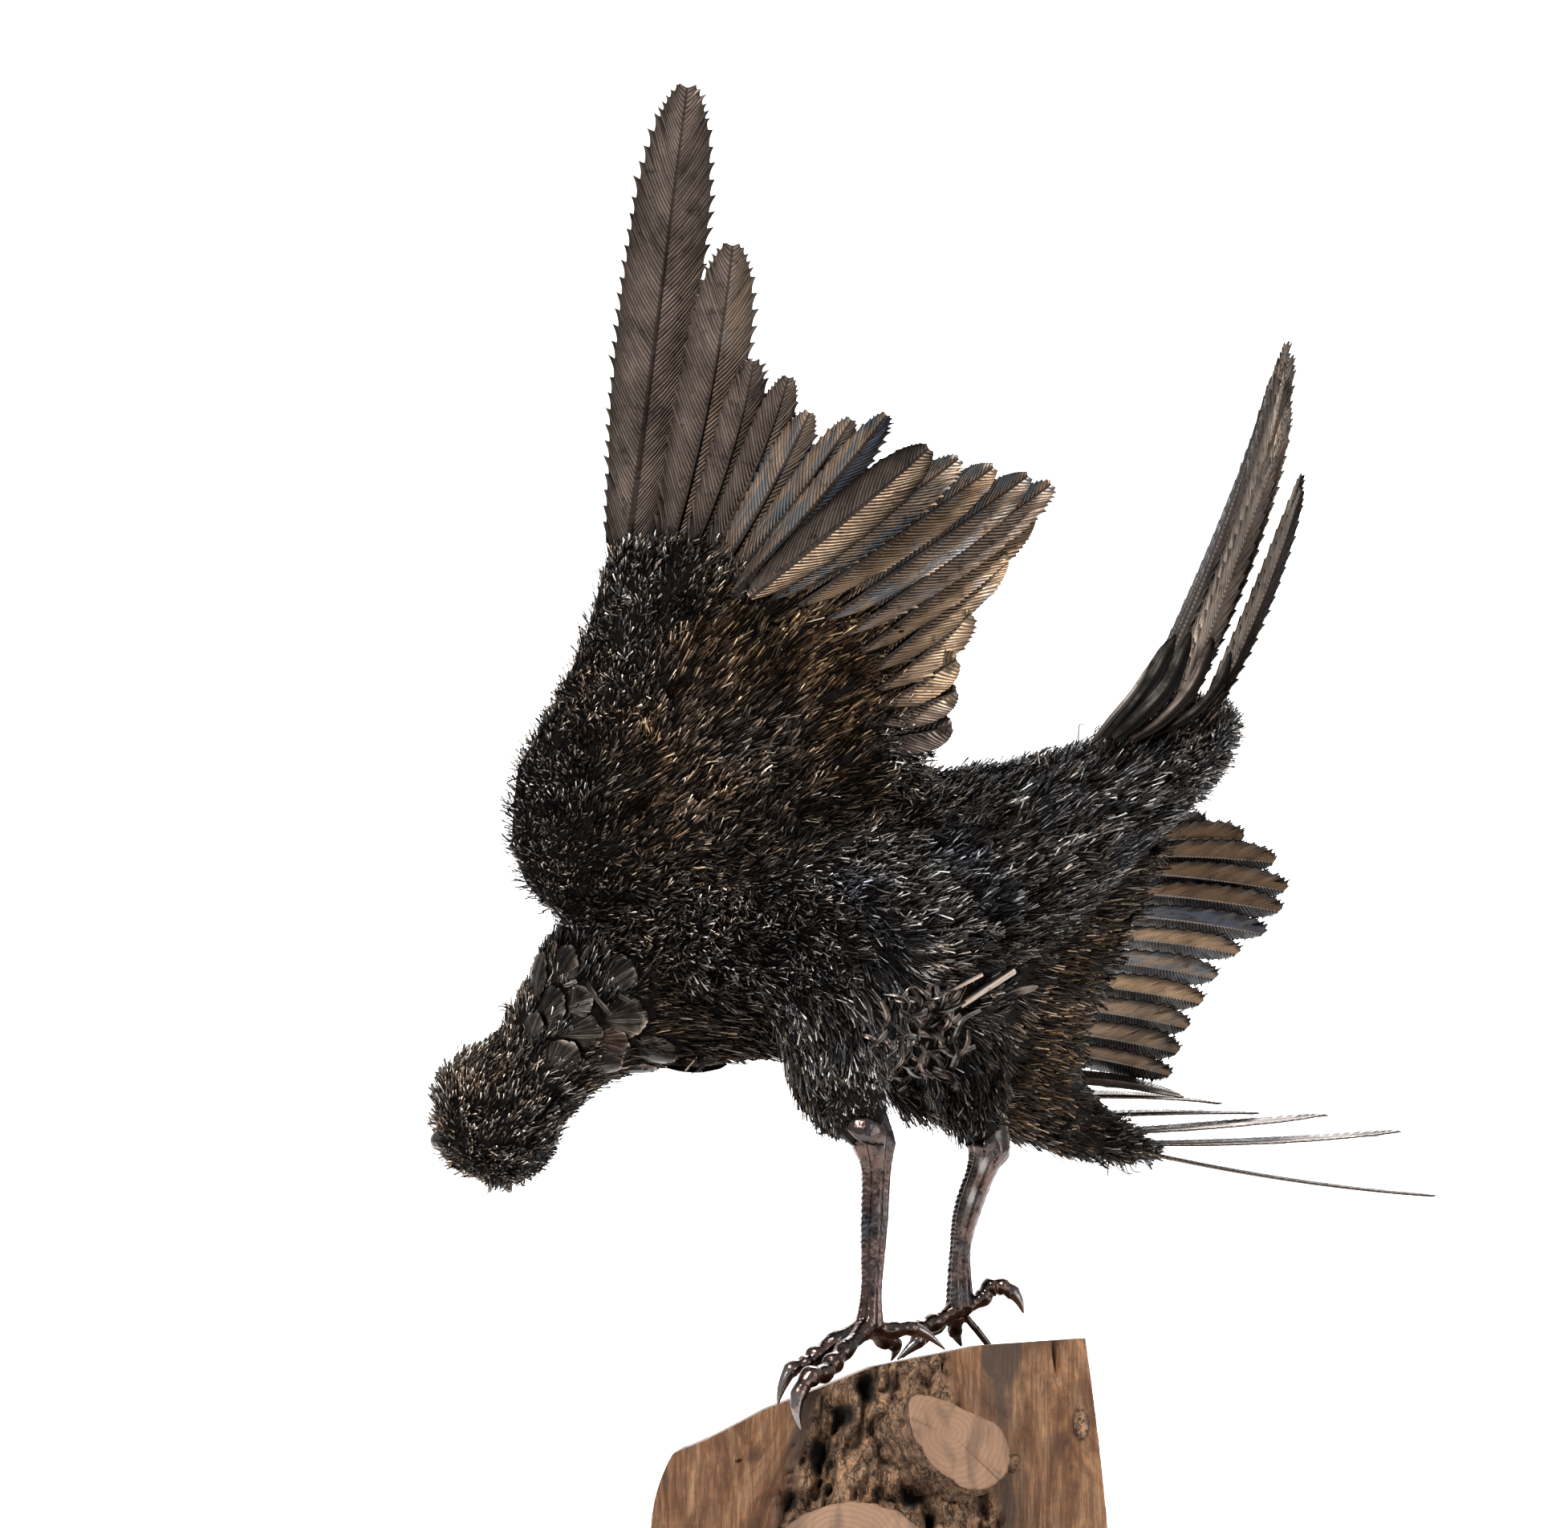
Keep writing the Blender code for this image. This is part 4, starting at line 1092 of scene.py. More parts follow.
@dataclass
class Fan:
    """A row of feathers along a wing or over the rump."""

    name: str
    roots: tuple[Point, ...]
    facings: tuple[Point, ...]
    follows: tuple[float, ...]
    bow_way: Point
    feathers: tuple[Feather, ...]
    camber: float = 3.0
    root_depth: float = 0.014
    barb: float = 0.0023        # from one engraved barb to the next
    ridge: float = 0.00016      # how far a barb stands out
    slant: float = 1.35         # how far a barb runs forward, as a share of the half width
    sheet: float = 0.0006
    shaft: float = 0.0032       # width of the shaft at the root
    shaft_tint: Tint = Tint.SHAFT

    def facing(self, roots: np.ndarray, number: int) -> np.ndarray:
        """Which way a feather of the row faces.

        Args:
            roots: The roots of all feathers of the row.
            number: Which feather.

        Returns:
            A direction between the row's own facing and the one square to the spread vanes.
        """
        feathers = self.feathers
        share = np.array([feathers[number].share])
        given = unit(along_curve(self.facings, share)[0])
        before = max(number - 1, 0)
        after = min(number + 1, len(feathers) - 1)
        sweep = (roots[after] + spot(*feathers[after].tip)
                 - roots[before] - spot(*feathers[before].tip))
        square = unit(np.cross(spot(*feathers[number].tip) - roots[number], sweep))
        if square @ given < 0:
            square = -square
        follow = along_curve(self.follows, share)[0]
        return unit(given * (1 - follow) + square * follow)

    def body(self, number: int, root: np.ndarray, facing: np.ndarray) -> tuple:
        """The engraved sheet of one feather.

        Args:
            number: Which feather.
            root: Where its root meets the row.
            facing: Which way it faces.

        Returns:
            Points, faces, finish numbers for the faces, flat coordinates and how dark the edge is.
        """
        feather = self.feathers[number]
        raised = facing * feather.lift * MM
        root = root + raised
        tip = spot(*feather.tip) + raised
        start = root - unit(tip - root) * self.root_depth
        bend = (unit(np.array(self.bow_way, float)) * feather.bow - facing * self.camber) * MM * 2
        middle = (start + tip) / 2 + bend
        length = np.linalg.norm(tip - start)
        half = feather.width * MM / 2
        rows = int(length / self.barb) * 2
        t0 = np.linspace(0, 0.988, rows)
        forward = self.slant * half / length
        reach = np.minimum(1.0, (1 - t0) / (1.7 * forward)) * forward
        table = np.array(VANE)
        steps = np.linspace(0, 1, 201)
        outline = np.convolve(np.pad(np.interp(steps, *table.T), 3, mode="edge"), np.ones(7) / 7, "valid")
        spread = np.interp(t0 + reach, steps, outline) * half
        stem = self.shaft / 2 * (1 - 0.72 * t0)
        pitch, depth, hook = feather.cut.value
        rng = np.random.default_rng(100 + number)
        columns = (1.0, 0.66, 0.33, 0.0)
        sides = []
        for way, shift in ((-1, 0.0), (1, 0.45)):
            phase = t0 * length / (pitch * MM) + shift
            tooth = phase - np.floor(phase)
            size = (0.65 + 0.5 * rng.random(int(phase.max()) + 2))[phase.astype(int)]
            grow = np.clip((t0 + reach) / 0.25, 0, 1) * np.clip((1 - t0) / 0.06, 0.15, 1)
            out = depth * MM * size * grow * (tooth ** 3.0 - 0.25)
            fore = hook * MM / length * size * grow * tooth ** 3.0
            strip = []
            for v, press in zip(columns, (0.35, 1, 1, 0.7)):
                at = np.minimum(t0 + reach * v ** 1.15 + fore * v ** 3, 1.0)
                aside = way * (stem + (np.maximum(spread, stem * 1.4) - stem) * v + out * v ** 4)
                lines = np.where(np.arange(rows) % 2 == 0, 1.0, -1.0) * self.ridge * press
                high = self.sheet / 2 + lines - half * 0.10 * v ** 2 + half * 0.05 * v
                strip.append((at, aside, high))
            sides.append(strip if way < 0 else strip[::-1])
        rise = self.sheet / 2 + 0.0008 * (1 - 0.7 * t0)
        strips = [*sides[0], (t0, np.zeros(rows), rise), *sides[1]]
        at, aside, high = (np.stack([strip[k] for strip in strips], 1) for k in range(3))
        t = at[..., None]
        centre = start * (1 - t) ** 2 + middle * 2 * t * (1 - t) + tip * t ** 2
        way = unit((middle - start) * (1 - t) + (tip - middle) * t)
        look = unit(facing - way * (way @ facing)[..., None])
        across = np.cross(way, look)
        turn = np.radians(feather.roll) * (1.25 - 0.5 * t)
        look, across = (look * np.cos(turn) + across * np.sin(turn),
                        across * np.cos(turn) - look * np.sin(turn))
        grid = centre + across * aside[..., None] + look * high[..., None]
        depths = np.full(grid.shape[:2], self.sheet)
        depths[:, 4] = self.sheet + 0.0011 * (1 - 0.6 * t0)
        points, faces = sheet_body(grid, look, depths)
        kinds = np.tile(np.array((0, 0, 0, 2, 2, 1, 1, 1)), rows - 1)
        rim = np.full(len(faces[2]), 0)
        rim[rows // 2:] = 1
        flat = np.stack([np.repeat(np.arange(rows) / 2, 9), (aside / MM).ravel()], -1)
        # The edge columns are darkened: partly the dark cut teeth, partly painted shade where the feathers
        # overlap.
        power, dark = {Cut.TOOTHED: (6, 0.9), Cut.FINE: (3, 1.0)}.get(feather.cut, (6, 0.45))
        fringe = np.array([*columns, 0.0, *columns[::-1]]) ** power * dark
        return points, faces, [kinds, kinds, rim], np.concatenate([flat, flat]), np.tile(fringe, rows * 2)

    def build(self, finishes: dict[Tint, bpy.types.Material]) -> None:
        """Make every feather as a piece that stands for its solid.

        Args:
            finishes: The material of each tint.
        """
        line = [spot(*point) for point in self.roots]
        roots = along_curve(line, np.array([feather.share for feather in self.feathers]))
        for number, feather in enumerate(self.feathers):
            points, faces, kinds, flat, fringe = self.body(number, roots[number],
                                                           self.facing(roots, number))
            shell = Shell()
            shell.add(points, faces, kinds, flat, fringe=fringe)
            made = shell.piece(f"{self.name}_sheet_{number + 1:02d}",
                               [finishes[feather.left], finishes[feather.right], finishes[self.shaft_tint]],
                               30)
            place_piece(made, "feather_sheet", f"{self.name}_{number + 1:02d}")


NEAR_FAN = Fan(
    "near_wing_feather",
    roots=((-111, -63, 341), (-92, -65, 347), (-73, -67, 345), (-52, -68, 337), (-28, -64, 334),
           (-4, -57, 322), (8, -51, 304), (12, -45, 288), (10, -38, 270)),
    facings=((0, -1, 0), (0, -1, 0)),
    follows=(0, 0),
    bow_way=(1, 0, 0),
    feathers=(
        Feather(0.02, (-82, -104, 544), 35, 0, 8, 0.0, Cut.HOOKED, Tint.SMOKE, Tint.SMOKE),
        Feather(0.13, (-63, -99, 476), 29, 4, 14, 0.5, Cut.HOOKED, Tint.SMOKE, Tint.TAUPE),
        Feather(0.19, (-54, -92, 427), 20, 4, 18, 0.5, Cut.HOOKED, Tint.SMOKE, Tint.SMOKE),
        Feather(0.25, (-39, -90, 420), 19, 3, 20, 1.0, Cut.BARBED, Tint.SMOKE, Tint.TEAL),
        Feather(0.29, (-30, -88, 405), 18, 2, 20, 1.5, Cut.BARBED, Tint.TEAL, Tint.TAUPE),
        Feather(0.33, (-12, -87, 402), 17, 2, 20, 1.8, Cut.BARBED, Tint.TEAL, Tint.SMOKE),
        Feather(0.36, (3, -87, 404), 16, 2, 20, 3.0, Cut.BARBED, Tint.TEAL, Tint.SLATE),
        Feather(0.41, (21, -87, 389), 22, 1, 0, 5.7, Cut.FINE, Tint.SMOKE, Tint.COARSE),
        Feather(0.46, (34, -80, 386), 19, 1, -16, 2.5, Cut.BARBED, Tint.TEAL, Tint.TEAL),
        Feather(0.52, (49, -75, 383), 20, 1, -16, 2.0, Cut.COMBED, Tint.TEAL, Tint.TAN),
        Feather(0.58, (64, -70, 380), 20, 1, -16, 1.5, Cut.COMBED, Tint.TEAL, Tint.TEAL),
        Feather(0.63, (74, -66, 377), 20, 1, -16, 1.0, Cut.BARBED, Tint.TEAL, Tint.TAUPE),
        Feather(0.68, (66, -62, 364), 19, 1, -16, 1.0, Cut.COMBED, Tint.TAUPE, Tint.TAN),
        Feather(0.73, (54, -59, 348), 20, 1, -14, 1.5, Cut.COMBED, Tint.TAN, Tint.TAN),
        Feather(0.79, (39, -54, 322), 20, 1, -14, 3.0, Cut.BARBED, Tint.GILT, Tint.GILT),
        Feather(0.86, (33, -51, 302), 19, 0, -14, 5.0, Cut.COMBED, Tint.TAN, Tint.TAN),
        Feather(0.92, (33, -46, 289), 18, 0, -14, 6.5, Cut.COMBED, Tint.TAUPE, Tint.TAUPE),
        Feather(1.00, (31, -42, 274), 18, 0, -14, 8.0, Cut.COMBED, Tint.SMOKE, Tint.SMOKE)))

# On the far wing the dark DUSK vanes are painted shade, for the vanes that turn away from the light.
FAR_FAN = Fan(
    "far_wing_feather",
    roots=((126, 38, 235), (117, 51, 219), (103, 66, 194), (88, 82, 166), (81, 100, 138),
           (94, 114, 113), (121, 123, 97)),
    facings=((0.63, -0.44, -0.64), (0.63, -0.44, -0.64), (0.55, -0.35, -0.75), (0.3, -0.1, -0.95),
             (0.05, 0, -1), (0.05, 0, -1)),
    follows=(1, 1, 1, 0.9, 0, 0),
    bow_way=(0, 0, -1),
    feathers=(
        Feather(0.00, (148, 72, 241), 14, 0, 14, -1.0, Cut.TOOTHED, Tint.DUSK, Tint.DUSK),
        Feather(0.06, (166, 98, 236), 18, 0, 16, -0.5, Cut.TOOTHED, Tint.UMBER, Tint.DUSK),
        Feather(0.12, (181, 116, 227), 19, 0, 16, 0, Cut.TOOTHED, Tint.UMBER, Tint.DUSK),
        Feather(0.18, (187, 129, 215), 20, 0, 16, 0, Cut.TOOTHED, Tint.UMBER, Tint.DUSK),
        Feather(0.24, (185, 136, 206), 20, 0, 16, 0, Cut.TOOTHED, Tint.UMBER, Tint.DUSK),
        Feather(0.30, (178, 142, 196), 20, 0, 16, 0, Cut.TOOTHED, Tint.SLATE, Tint.DUSK),
        Feather(0.36, (166, 145, 187), 20, 0, 16, 0, Cut.TOOTHED, Tint.BRONZE, Tint.DUSK),
        Feather(0.42, (156, 150, 176), 20, 0, 16, 0, Cut.TOOTHED, Tint.TEAL, Tint.SLATE),
        Feather(0.48, (150, 157, 165), 20, 0, 16, 0, Cut.TOOTHED, Tint.BRONZE, Tint.DUSK),
        Feather(0.54, (144, 164, 154), 20, 0, 16, 0, Cut.TOOTHED, Tint.TAN, Tint.DUSK),
        Feather(0.60, (140, 172, 143), 20, 0, 16, 0, Cut.TOOTHED, Tint.TAN, Tint.DUSK),
        Feather(0.66, (138, 180, 132), 15, 0, 10, -1.5, Cut.TOOTHED, Tint.TAN, Tint.DUSK),
        Feather(0.72, (143, 190, 126), 15, 0, 12, 2.0, Cut.COMBED, Tint.TAUPE, Tint.SMOKE),
        Feather(0.78, (160, 204, 121), 18, 1, 12, 0, Cut.BARBED, Tint.TAUPE, Tint.SMOKE),
        Feather(0.84, (178, 221, 117), 18, 2, 11, 0, Cut.HOOKED, Tint.SMOKE, Tint.SMOKE),
        Feather(0.90, (211, 240, 117), 18, 4, 11, 0, Cut.HOOKED, Tint.TAUPE, Tint.SMOKE),
        Feather(0.95, (248, 262, 110), 18, 5, 11, 0, Cut.HOOKED, Tint.TAUPE, Tint.SMOKE),
        Feather(1.00, (263, 240, 79), 17, 6, 12, 0, Cut.HOOKED, Tint.TAUPE, Tint.SMOKE)),
    shaft=0.0016,
    # Pale shafts: a painted highlight along each shaft's ridge.
    shaft_tint=Tint.PEWTER)

TAIL_FAN = Fan(
    "tail_feather",
    roots=((106, 32, 276), (112, 18, 279), (119, 4, 281), (126, -8, 283), (135, -18, 285),
           (144, -27, 287)),
    facings=((-0.93, 0, 0.36), (-0.93, 0, 0.36)),
    follows=(0, 0),
    bow_way=(0.93, 0, -0.36),
    feathers=tuple(
        Feather(share, tip, width, bow, roll, 0, Cut.HOOKED, left, right)
        for share, tip, width, bow, roll, left, right in (
            (0.00, (174, 70, 428), 15, 4, 14, Tint.DUSK, Tint.DUSK),
            (0.09, (175, 57, 434), 15, 5, 14, Tint.DUSK, Tint.SMOKE),
            (0.17, (176, 44, 440), 16, 6, 16, Tint.DUSK, Tint.SMOKE),
            (0.25, (178, 30, 446), 17, 9, 22, Tint.SMOKE, Tint.TAUPE),
            (0.33, (180, 16, 451), 19, 11, 30, Tint.SMOKE, Tint.PEWTER),
            (0.41, (181, 2, 443), 20, 9, 32, Tint.TAUPE, Tint.PEWTER),
            (0.49, (178, -12, 431), 20, 7, 34, Tint.PEWTER, Tint.SMOKE),
            (0.57, (178, -25, 416), 20, 5, 34, Tint.TAUPE, Tint.PEWTER),
            (0.65, (175, -38, 402), 19, 3, 32, Tint.PEWTER, Tint.TAUPE),
            (0.72, (171, -49, 391), 19, 0, 30, Tint.PEWTER, Tint.TAUPE),
            (0.92, (181, -61, 382), 17, 3, 24, Tint.PEWTER, Tint.DUSK),
            (1.00, (180, -73, 374), 16, 3, 28, Tint.PEWTER, Tint.DUSK))),
    camber=0.0,
    shaft_tint=Tint.PEWTER)


# Plates, strips and tufts that lie on the plumage

@dataclass(frozen=True)
class Plate:
    """A round scale plate: place across and up from the underside, radius, heading and finish number."""

    across: float
    height: float
    radius: float
    heading: float
    kind: int = 0
    stretch: float = 1.15


@dataclass
class Trimmings:
    """Scale plates on the neck, curled strips and rods at the vent, blades and tufts at the tail."""

    skin: Skin
    finishes: dict[Tint, bpy.types.Material]
    sliver: bpy.types.Material
    plates: tuple[Plate, ...] = (
        Plate(-147.0, 300, 6.0, 84, 1, 1.9),
        Plate(-148.5, 279, 5.5, 60, 1),
        Plate(-137.0, 266, 8.0, 50, 0),
        Plate(-119.5, 264.7, 7.5, 20, 0),
        Plate(-104.0, 262.5, 7.0, 0, 0),
        Plate(-129.5, 276.5, 9.2, 10, 0),
        Plate(-117.0, 273.0, 8.0, -10, 2),
        Plate(-97.5, 269.3, 8.6, -20, 0),
        Plate(-142.0, 287.0, 8.8, 35, 0),
        Plate(-130.0, 289.5, 7.0, 20, 1),
        Plate(-110.5, 283.0, 9.6, 10, 0),
        Plate(-136.0, 305.0, 8.2, 48, 0),
        Plate(-114.0, 299.5, 9.6, 35, 0))

    def bare_spots(self) -> list[tuple[np.ndarray, float]]:
        """Places that the slivers leave clear, with their radii."""
        spots = [(self.skin.under(plate.across, plate.height)[0], plate.radius * 0.8 * MM)
                 for plate in self.plates]
        spots += [(self.skin.under(across, height)[0], radius * MM)
                  for across, height, radius in ((5, 284, 9), (16, 276, 11), (24, 286, 8), (10, 270, 9),
                                                 (28, 272, 8), (40, 300, 7), (50, 300, 6), (33, 294, 6),
                                                 (22, 456, 8), (22, 443, 8), (22, 430, 8), (21, 417, 8))]
        return spots

    def plate(self, shell: Shell, plate: Plate) -> None:
        """Add one scale plate: a shallow dished disc with lines from its root and a nicked rim.

        Args:
            shell: The piece in the making.
            plate: Which plate.
        """
        place, normal = self.skin.under(plate.across, plate.height)
        heading = math.radians(plate.heading)
        flow = np.array((math.cos(heading), 0, math.sin(heading)))
        flow = unit(flow - normal * (flow @ normal))
        side = np.cross(normal, flow)
        rings, count = 9, 72
        radii = np.linspace(0.04, 1, rings)[:, None]
        turns = 2 * np.pi * np.arange(count + 1) / count
        wobble = 1 + 0.03 * np.sin(turns * 5 + plate.across) + 0.02 * np.sin(turns * 11)
        nick = np.where(np.arange(count + 1) % 9 == 4, 0.93, 1.0)
        size = plate.radius * MM * radii * np.where(radii == 1, wobble * nick, wobble)
        along = size * np.cos(turns) * plate.stretch
        aside = size * np.sin(turns)
        high = 0.0026 + 0.22 * along - (aside ** 2) * 40 - (along ** 2) * 14
        grid = place + flow * along[..., None] + side * aside[..., None] + normal * high[..., None]
        normals = np.broadcast_to(normal, grid.shape)
        points, faces = sheet_body(grid[:, ::-1], normals, 0.0006)
        root = 1.05 * plate.radius * MM * plate.stretch
        flat = np.stack([np.arctan2(aside, along + root) * 11, np.hypot(aside, along + root) / root / 2], -1)
        flat = flat[:, ::-1].reshape(-1, 2)
        # The fringe value marks the rim, most towards its tip, which the finish brightens: partly wear,
        # partly a painted highlight.
        fringe = np.broadcast_to(radii, grid.shape[:2]).ravel() ** 10 * np.clip(
            0.4 + along[:, ::-1].ravel() / root, 0, 1)
        shell.add(points, faces, plate.kind, np.concatenate([flat, flat]),
                  fringe=np.concatenate([fringe, fringe]))

    def over(self, places: Sequence[tuple[float, float]], rise: float) -> list[np.ndarray]:
        """Points that stand off the skin by a rise in metres, behind places of the seen side."""
        found = [self.skin.under(*place) for place in places]
        return [place + normal * rise for place, normal in found]

    def blade(self, shell: Shell, path: Sequence, width: float, facing: Sequence[float], kind: int,
              bowl: float = 0.12, point: float = 0.12) -> None:
        """Add a pointed strip of sheet.

        Args:
            shell: The piece in the making.
            path: Points in metres that its middle follows.
            width: Its greatest width in metres.
            facing: The way its face looks.
            kind: The number of its finish.
            bowl: How hollow it is across, as a share of its width.
            point: Its width at the tip, as a share of the greatest.
        """
        shares = np.linspace(0, 1, 22)
        line = along_curve(path, shares)
        ways = unit(np.gradient(line, axis=0))
        look = unit(np.asarray(facing, float) - ways * (ways @ np.asarray(facing, float))[:, None])
        across = np.cross(ways, look)
        outline = np.interp(shares, (0, 0.25, 0.6, 0.85, 1), (0.55, 0.9, 1, 0.75, point)) * width / 2
        places = np.array((-1, -0.5, 0, 0.5, 1))
        grid = (line[:, None] + across[:, None] * (outline[:, None] * places)[..., None]
                + look[:, None] * (bowl * width * (places ** 2 - 0.5))[None, :, None])
        points, faces = sheet_body(grid, np.broadcast_to(look[:, None], grid.shape), 0.0005)
        flat = np.stack([np.tile(places * 1.6, 22), np.repeat(shares * 0.97, 5)], -1)
        shell.add(points, faces, kind, np.concatenate([flat, flat]), fringe=0.0)

    def neck(self) -> None:
        """Scale plates, loose chips and the long plate under the throat."""
        shell = Shell()
        for plate in self.plates:
            self.plate(shell, plate)
        chips = ((-124, 309, 60, 3.5), (-121.5, 293.5, -60, 5), (-129.5, 291.4, 85, 3.5),
                 (-118, 289, -50, 5), (-131, 297, 20, 3), (-109, 292, -30, 3),
                 (-139, 280, 70, 3), (-152, 268, 50, 2.5), (-100, 276, 15, 3))
        for across, height, turn, long in chips:
            place, normal = self.skin.under(across, height)
            lift = place + normal * 0.0065
            flow = np.array((math.cos(math.radians(turn)), 0, math.sin(math.radians(turn)))) * long * MM
            self.blade(shell, [lift - flow, lift, lift + flow], 0.0022, normal, 1, 0.0, 0.9)
        throat = self.over(((-92, 265.5), (-80, 264), (-66, 262)), 0.003)
        self.blade(shell, throat, 0.0046, (0, -1, 0.2), 1)
        plates = ScaleFinish().build()
        bright = ScaleFinish("bright_plate", (0.014, 0.012, 0.011), (0.060, 0.051, 0.044)).build()
        dark = ScaleFinish("dark_plate", (0.010, 0.007, 0.006), (0.034, 0.023, 0.017)).build()
        place_piece(shell.piece("neck_plates", [plates, bright, dark], 35), "feather_sheet")

    def vent(self) -> None:
        """Curled strips, two pale rods and a flat blade between the thigh and the far wing."""
        rng = np.random.default_rng(23)
        shell = Shell()
        for _ in range(92):
            turn, far = rng.uniform(0, 2 * np.pi), math.sqrt(rng.random())
            across = 15 + 23 * far * math.cos(turn)
            height = 279 + 20 * far * math.sin(turn)
            place, normal = self.skin.under(across, height)
            heading = rng.uniform(-0.5, np.pi * 0.8)
            flow = np.array((math.cos(heading), -0.15, math.sin(heading)))
            long = rng.uniform(0.0065, 0.0120)
            curl = np.cross(normal, flow) * rng.uniform(-0.6, 0.6)
            base = place + normal * rng.uniform(0.0025, 0.0100)
            path = [base - flow * long * 0.5, base + normal * long * rng.uniform(0.1, 0.3),
                    base + (flow + curl) * long * 0.45,
                    base + (flow + curl * 2.2 - normal * 0.3) * long * 0.8]
            self.blade(shell, path, rng.uniform(0.0020, 0.0034), normal + 0.45 * rng.normal(0, 1, 3),
                       int(rng.integers(0, 2)), 0.10, 0.7)
        rods = (((28.7, 297.5), (42.5, 305.5), 0.0011), ((33.6, 290.5), (55, 306), 0.0019))
        for *ends, radius in rods:
            first, last = self.over(ends, 0.0045)
            points, faces = tube([first, (first + last) / 2 - np.array((0, 0.0012, 0)), last],
                                 (radius * 0.8, radius, radius * 1.1), 14, 14)
            shell.add(points, faces, 2, fringe=0.0)
        leaf = self.over(((45, 295), (56, 298.5), (67.5, 302)), 0.0055)
        self.blade(shell, leaf, 0.0036, (0.1, -1, 0.3), 2, 0.0, 0.05)
        brown = ScaleFinish("brown_strip", (0.050, 0.038, 0.031), (0.130, 0.102, 0.085)).build()
        grey = ScaleFinish("grey_strip", (0.034, 0.030, 0.028), (0.090, 0.078, 0.070)).build()
        place_piece(shell.piece("vent_strips", [brown, grey, self.finishes[Tint.ASH]], 35), "feather_sheet")

    def coverts(self) -> None:
        """Long dark plates that sheathe the tail's root."""
        shell = Shell()
        rows = ((((98, -22, 404), (110, -24, 418), (120, -20, 432), (129, -15, 450)), 8.0, 0),
                (((92, -27, 402), (100, -29, 412), (110, -29, 424), (117, -27, 436)), 3.4, 2),
                (((101, -30, 403), (114, -32, 414), (126, -30, 428), (135, -25, 450)), 9.0, 0),
                (((109, -33, 403), (123, -34, 412), (136, -32, 427), (144, -28, 447)), 8.0, 1),
                (((118, -34, 405), (134, -36, 413), (146, -36, 426), (152, -33, 441)), 5.0, 0),
                (((98, -4, 404), (110, -4, 420), (120, 0, 436), (128, 4, 450)), 8.0, 0),
                (((100, 14, 404), (111, 16, 420), (121, 20, 436), (129, 26, 450)), 8.0, 1),
                (((106, 26, 402), (117, 32, 418), (127, 38, 434), (134, 44, 448)), 8.0, 0))
        for path, width, kind in rows:
            line = [np.array(point) * MM for point in path]
            self.blade(shell, line, width * MM, (-0.45, -0.80, 0.35), kind, 0.10, 0.10)
        tones = (("sheath", (0.005, 0.0045, 0.004), (0.010, 0.009, 0.008)),
                 ("brown_sheath", (0.009, 0.007, 0.006), (0.020, 0.016, 0.014)),
                 ("pale_sheath", (0.030, 0.026, 0.023), (0.070, 0.060, 0.053)))
        finishes = [ScaleFinish(*tone, roughness=0.42, glint=2.0).build() for tone in tones]
        place_piece(shell.piece("tail_coverts", finishes, 35), "feather_sheet")

    def tufts(self) -> None:
        """Loose wires and splinters that stand out of the plumage."""
        rng = np.random.default_rng(31)
        shell = Shell()
        places = (((70, -20, 402), (0.3, 0, 0.9), 16, 11), ((88, -18, 411), (0.55, 0, 0.8), 22, 12),
                  ((120, -18, 437), (0.25, 0, 0.95), 22, 12), ((150, -25, 412), (0.2, -0.2, 0.9), 22, 8),
                  ((-75, -18, 262), (-0.1, 0, -1), 14, 9), ((-168, 4, 212), (-0.1, 0, -1), 20, 7),
                  ((-180, 0, 300), (-0.8, 0, 0.5), 10, 6), ((60, 40, 238), (0.3, 0, -0.9), 12, 7),
                  ((112, 112, 228), (0.4, 0, -0.8), 18, 8), ((-20, -30, 240), (-0.6, 0, -0.6), 10, 8))
        for centre, way, count, long in places:
            for _ in range(count):
                place = np.array(centre) * MM + rng.normal(0, 0.0028, 3)
                place = np.array(self.skin.tree.find_nearest(Vector(place))[0])
                heading = unit(np.array(way, float) + rng.normal(0, 0.38, 3))
                reach = long * MM * rng.uniform(0.5, 1.1)
                bend = rng.normal(0, 0.22, 3) * reach
                path = [place - heading * 0.002, place + heading * reach * 0.5 + bend,
                        place + heading * reach]
                points, faces = tube(path, (0.00035, 0.0003, 0.0002), 7, 4, 1.0, (0.3, 0.9, 0.2))
                shell.add(points, faces, 0, warmth=rng.random(), light=0.1, shade=0.4)
        place_piece(shell.piece("tufts", [self.sliver]), "chopped_steel")

    def build(self) -> None:
        """Make all of them."""
        self.neck()
        self.vent()
        self.coverts()
        self.tufts()


# Head

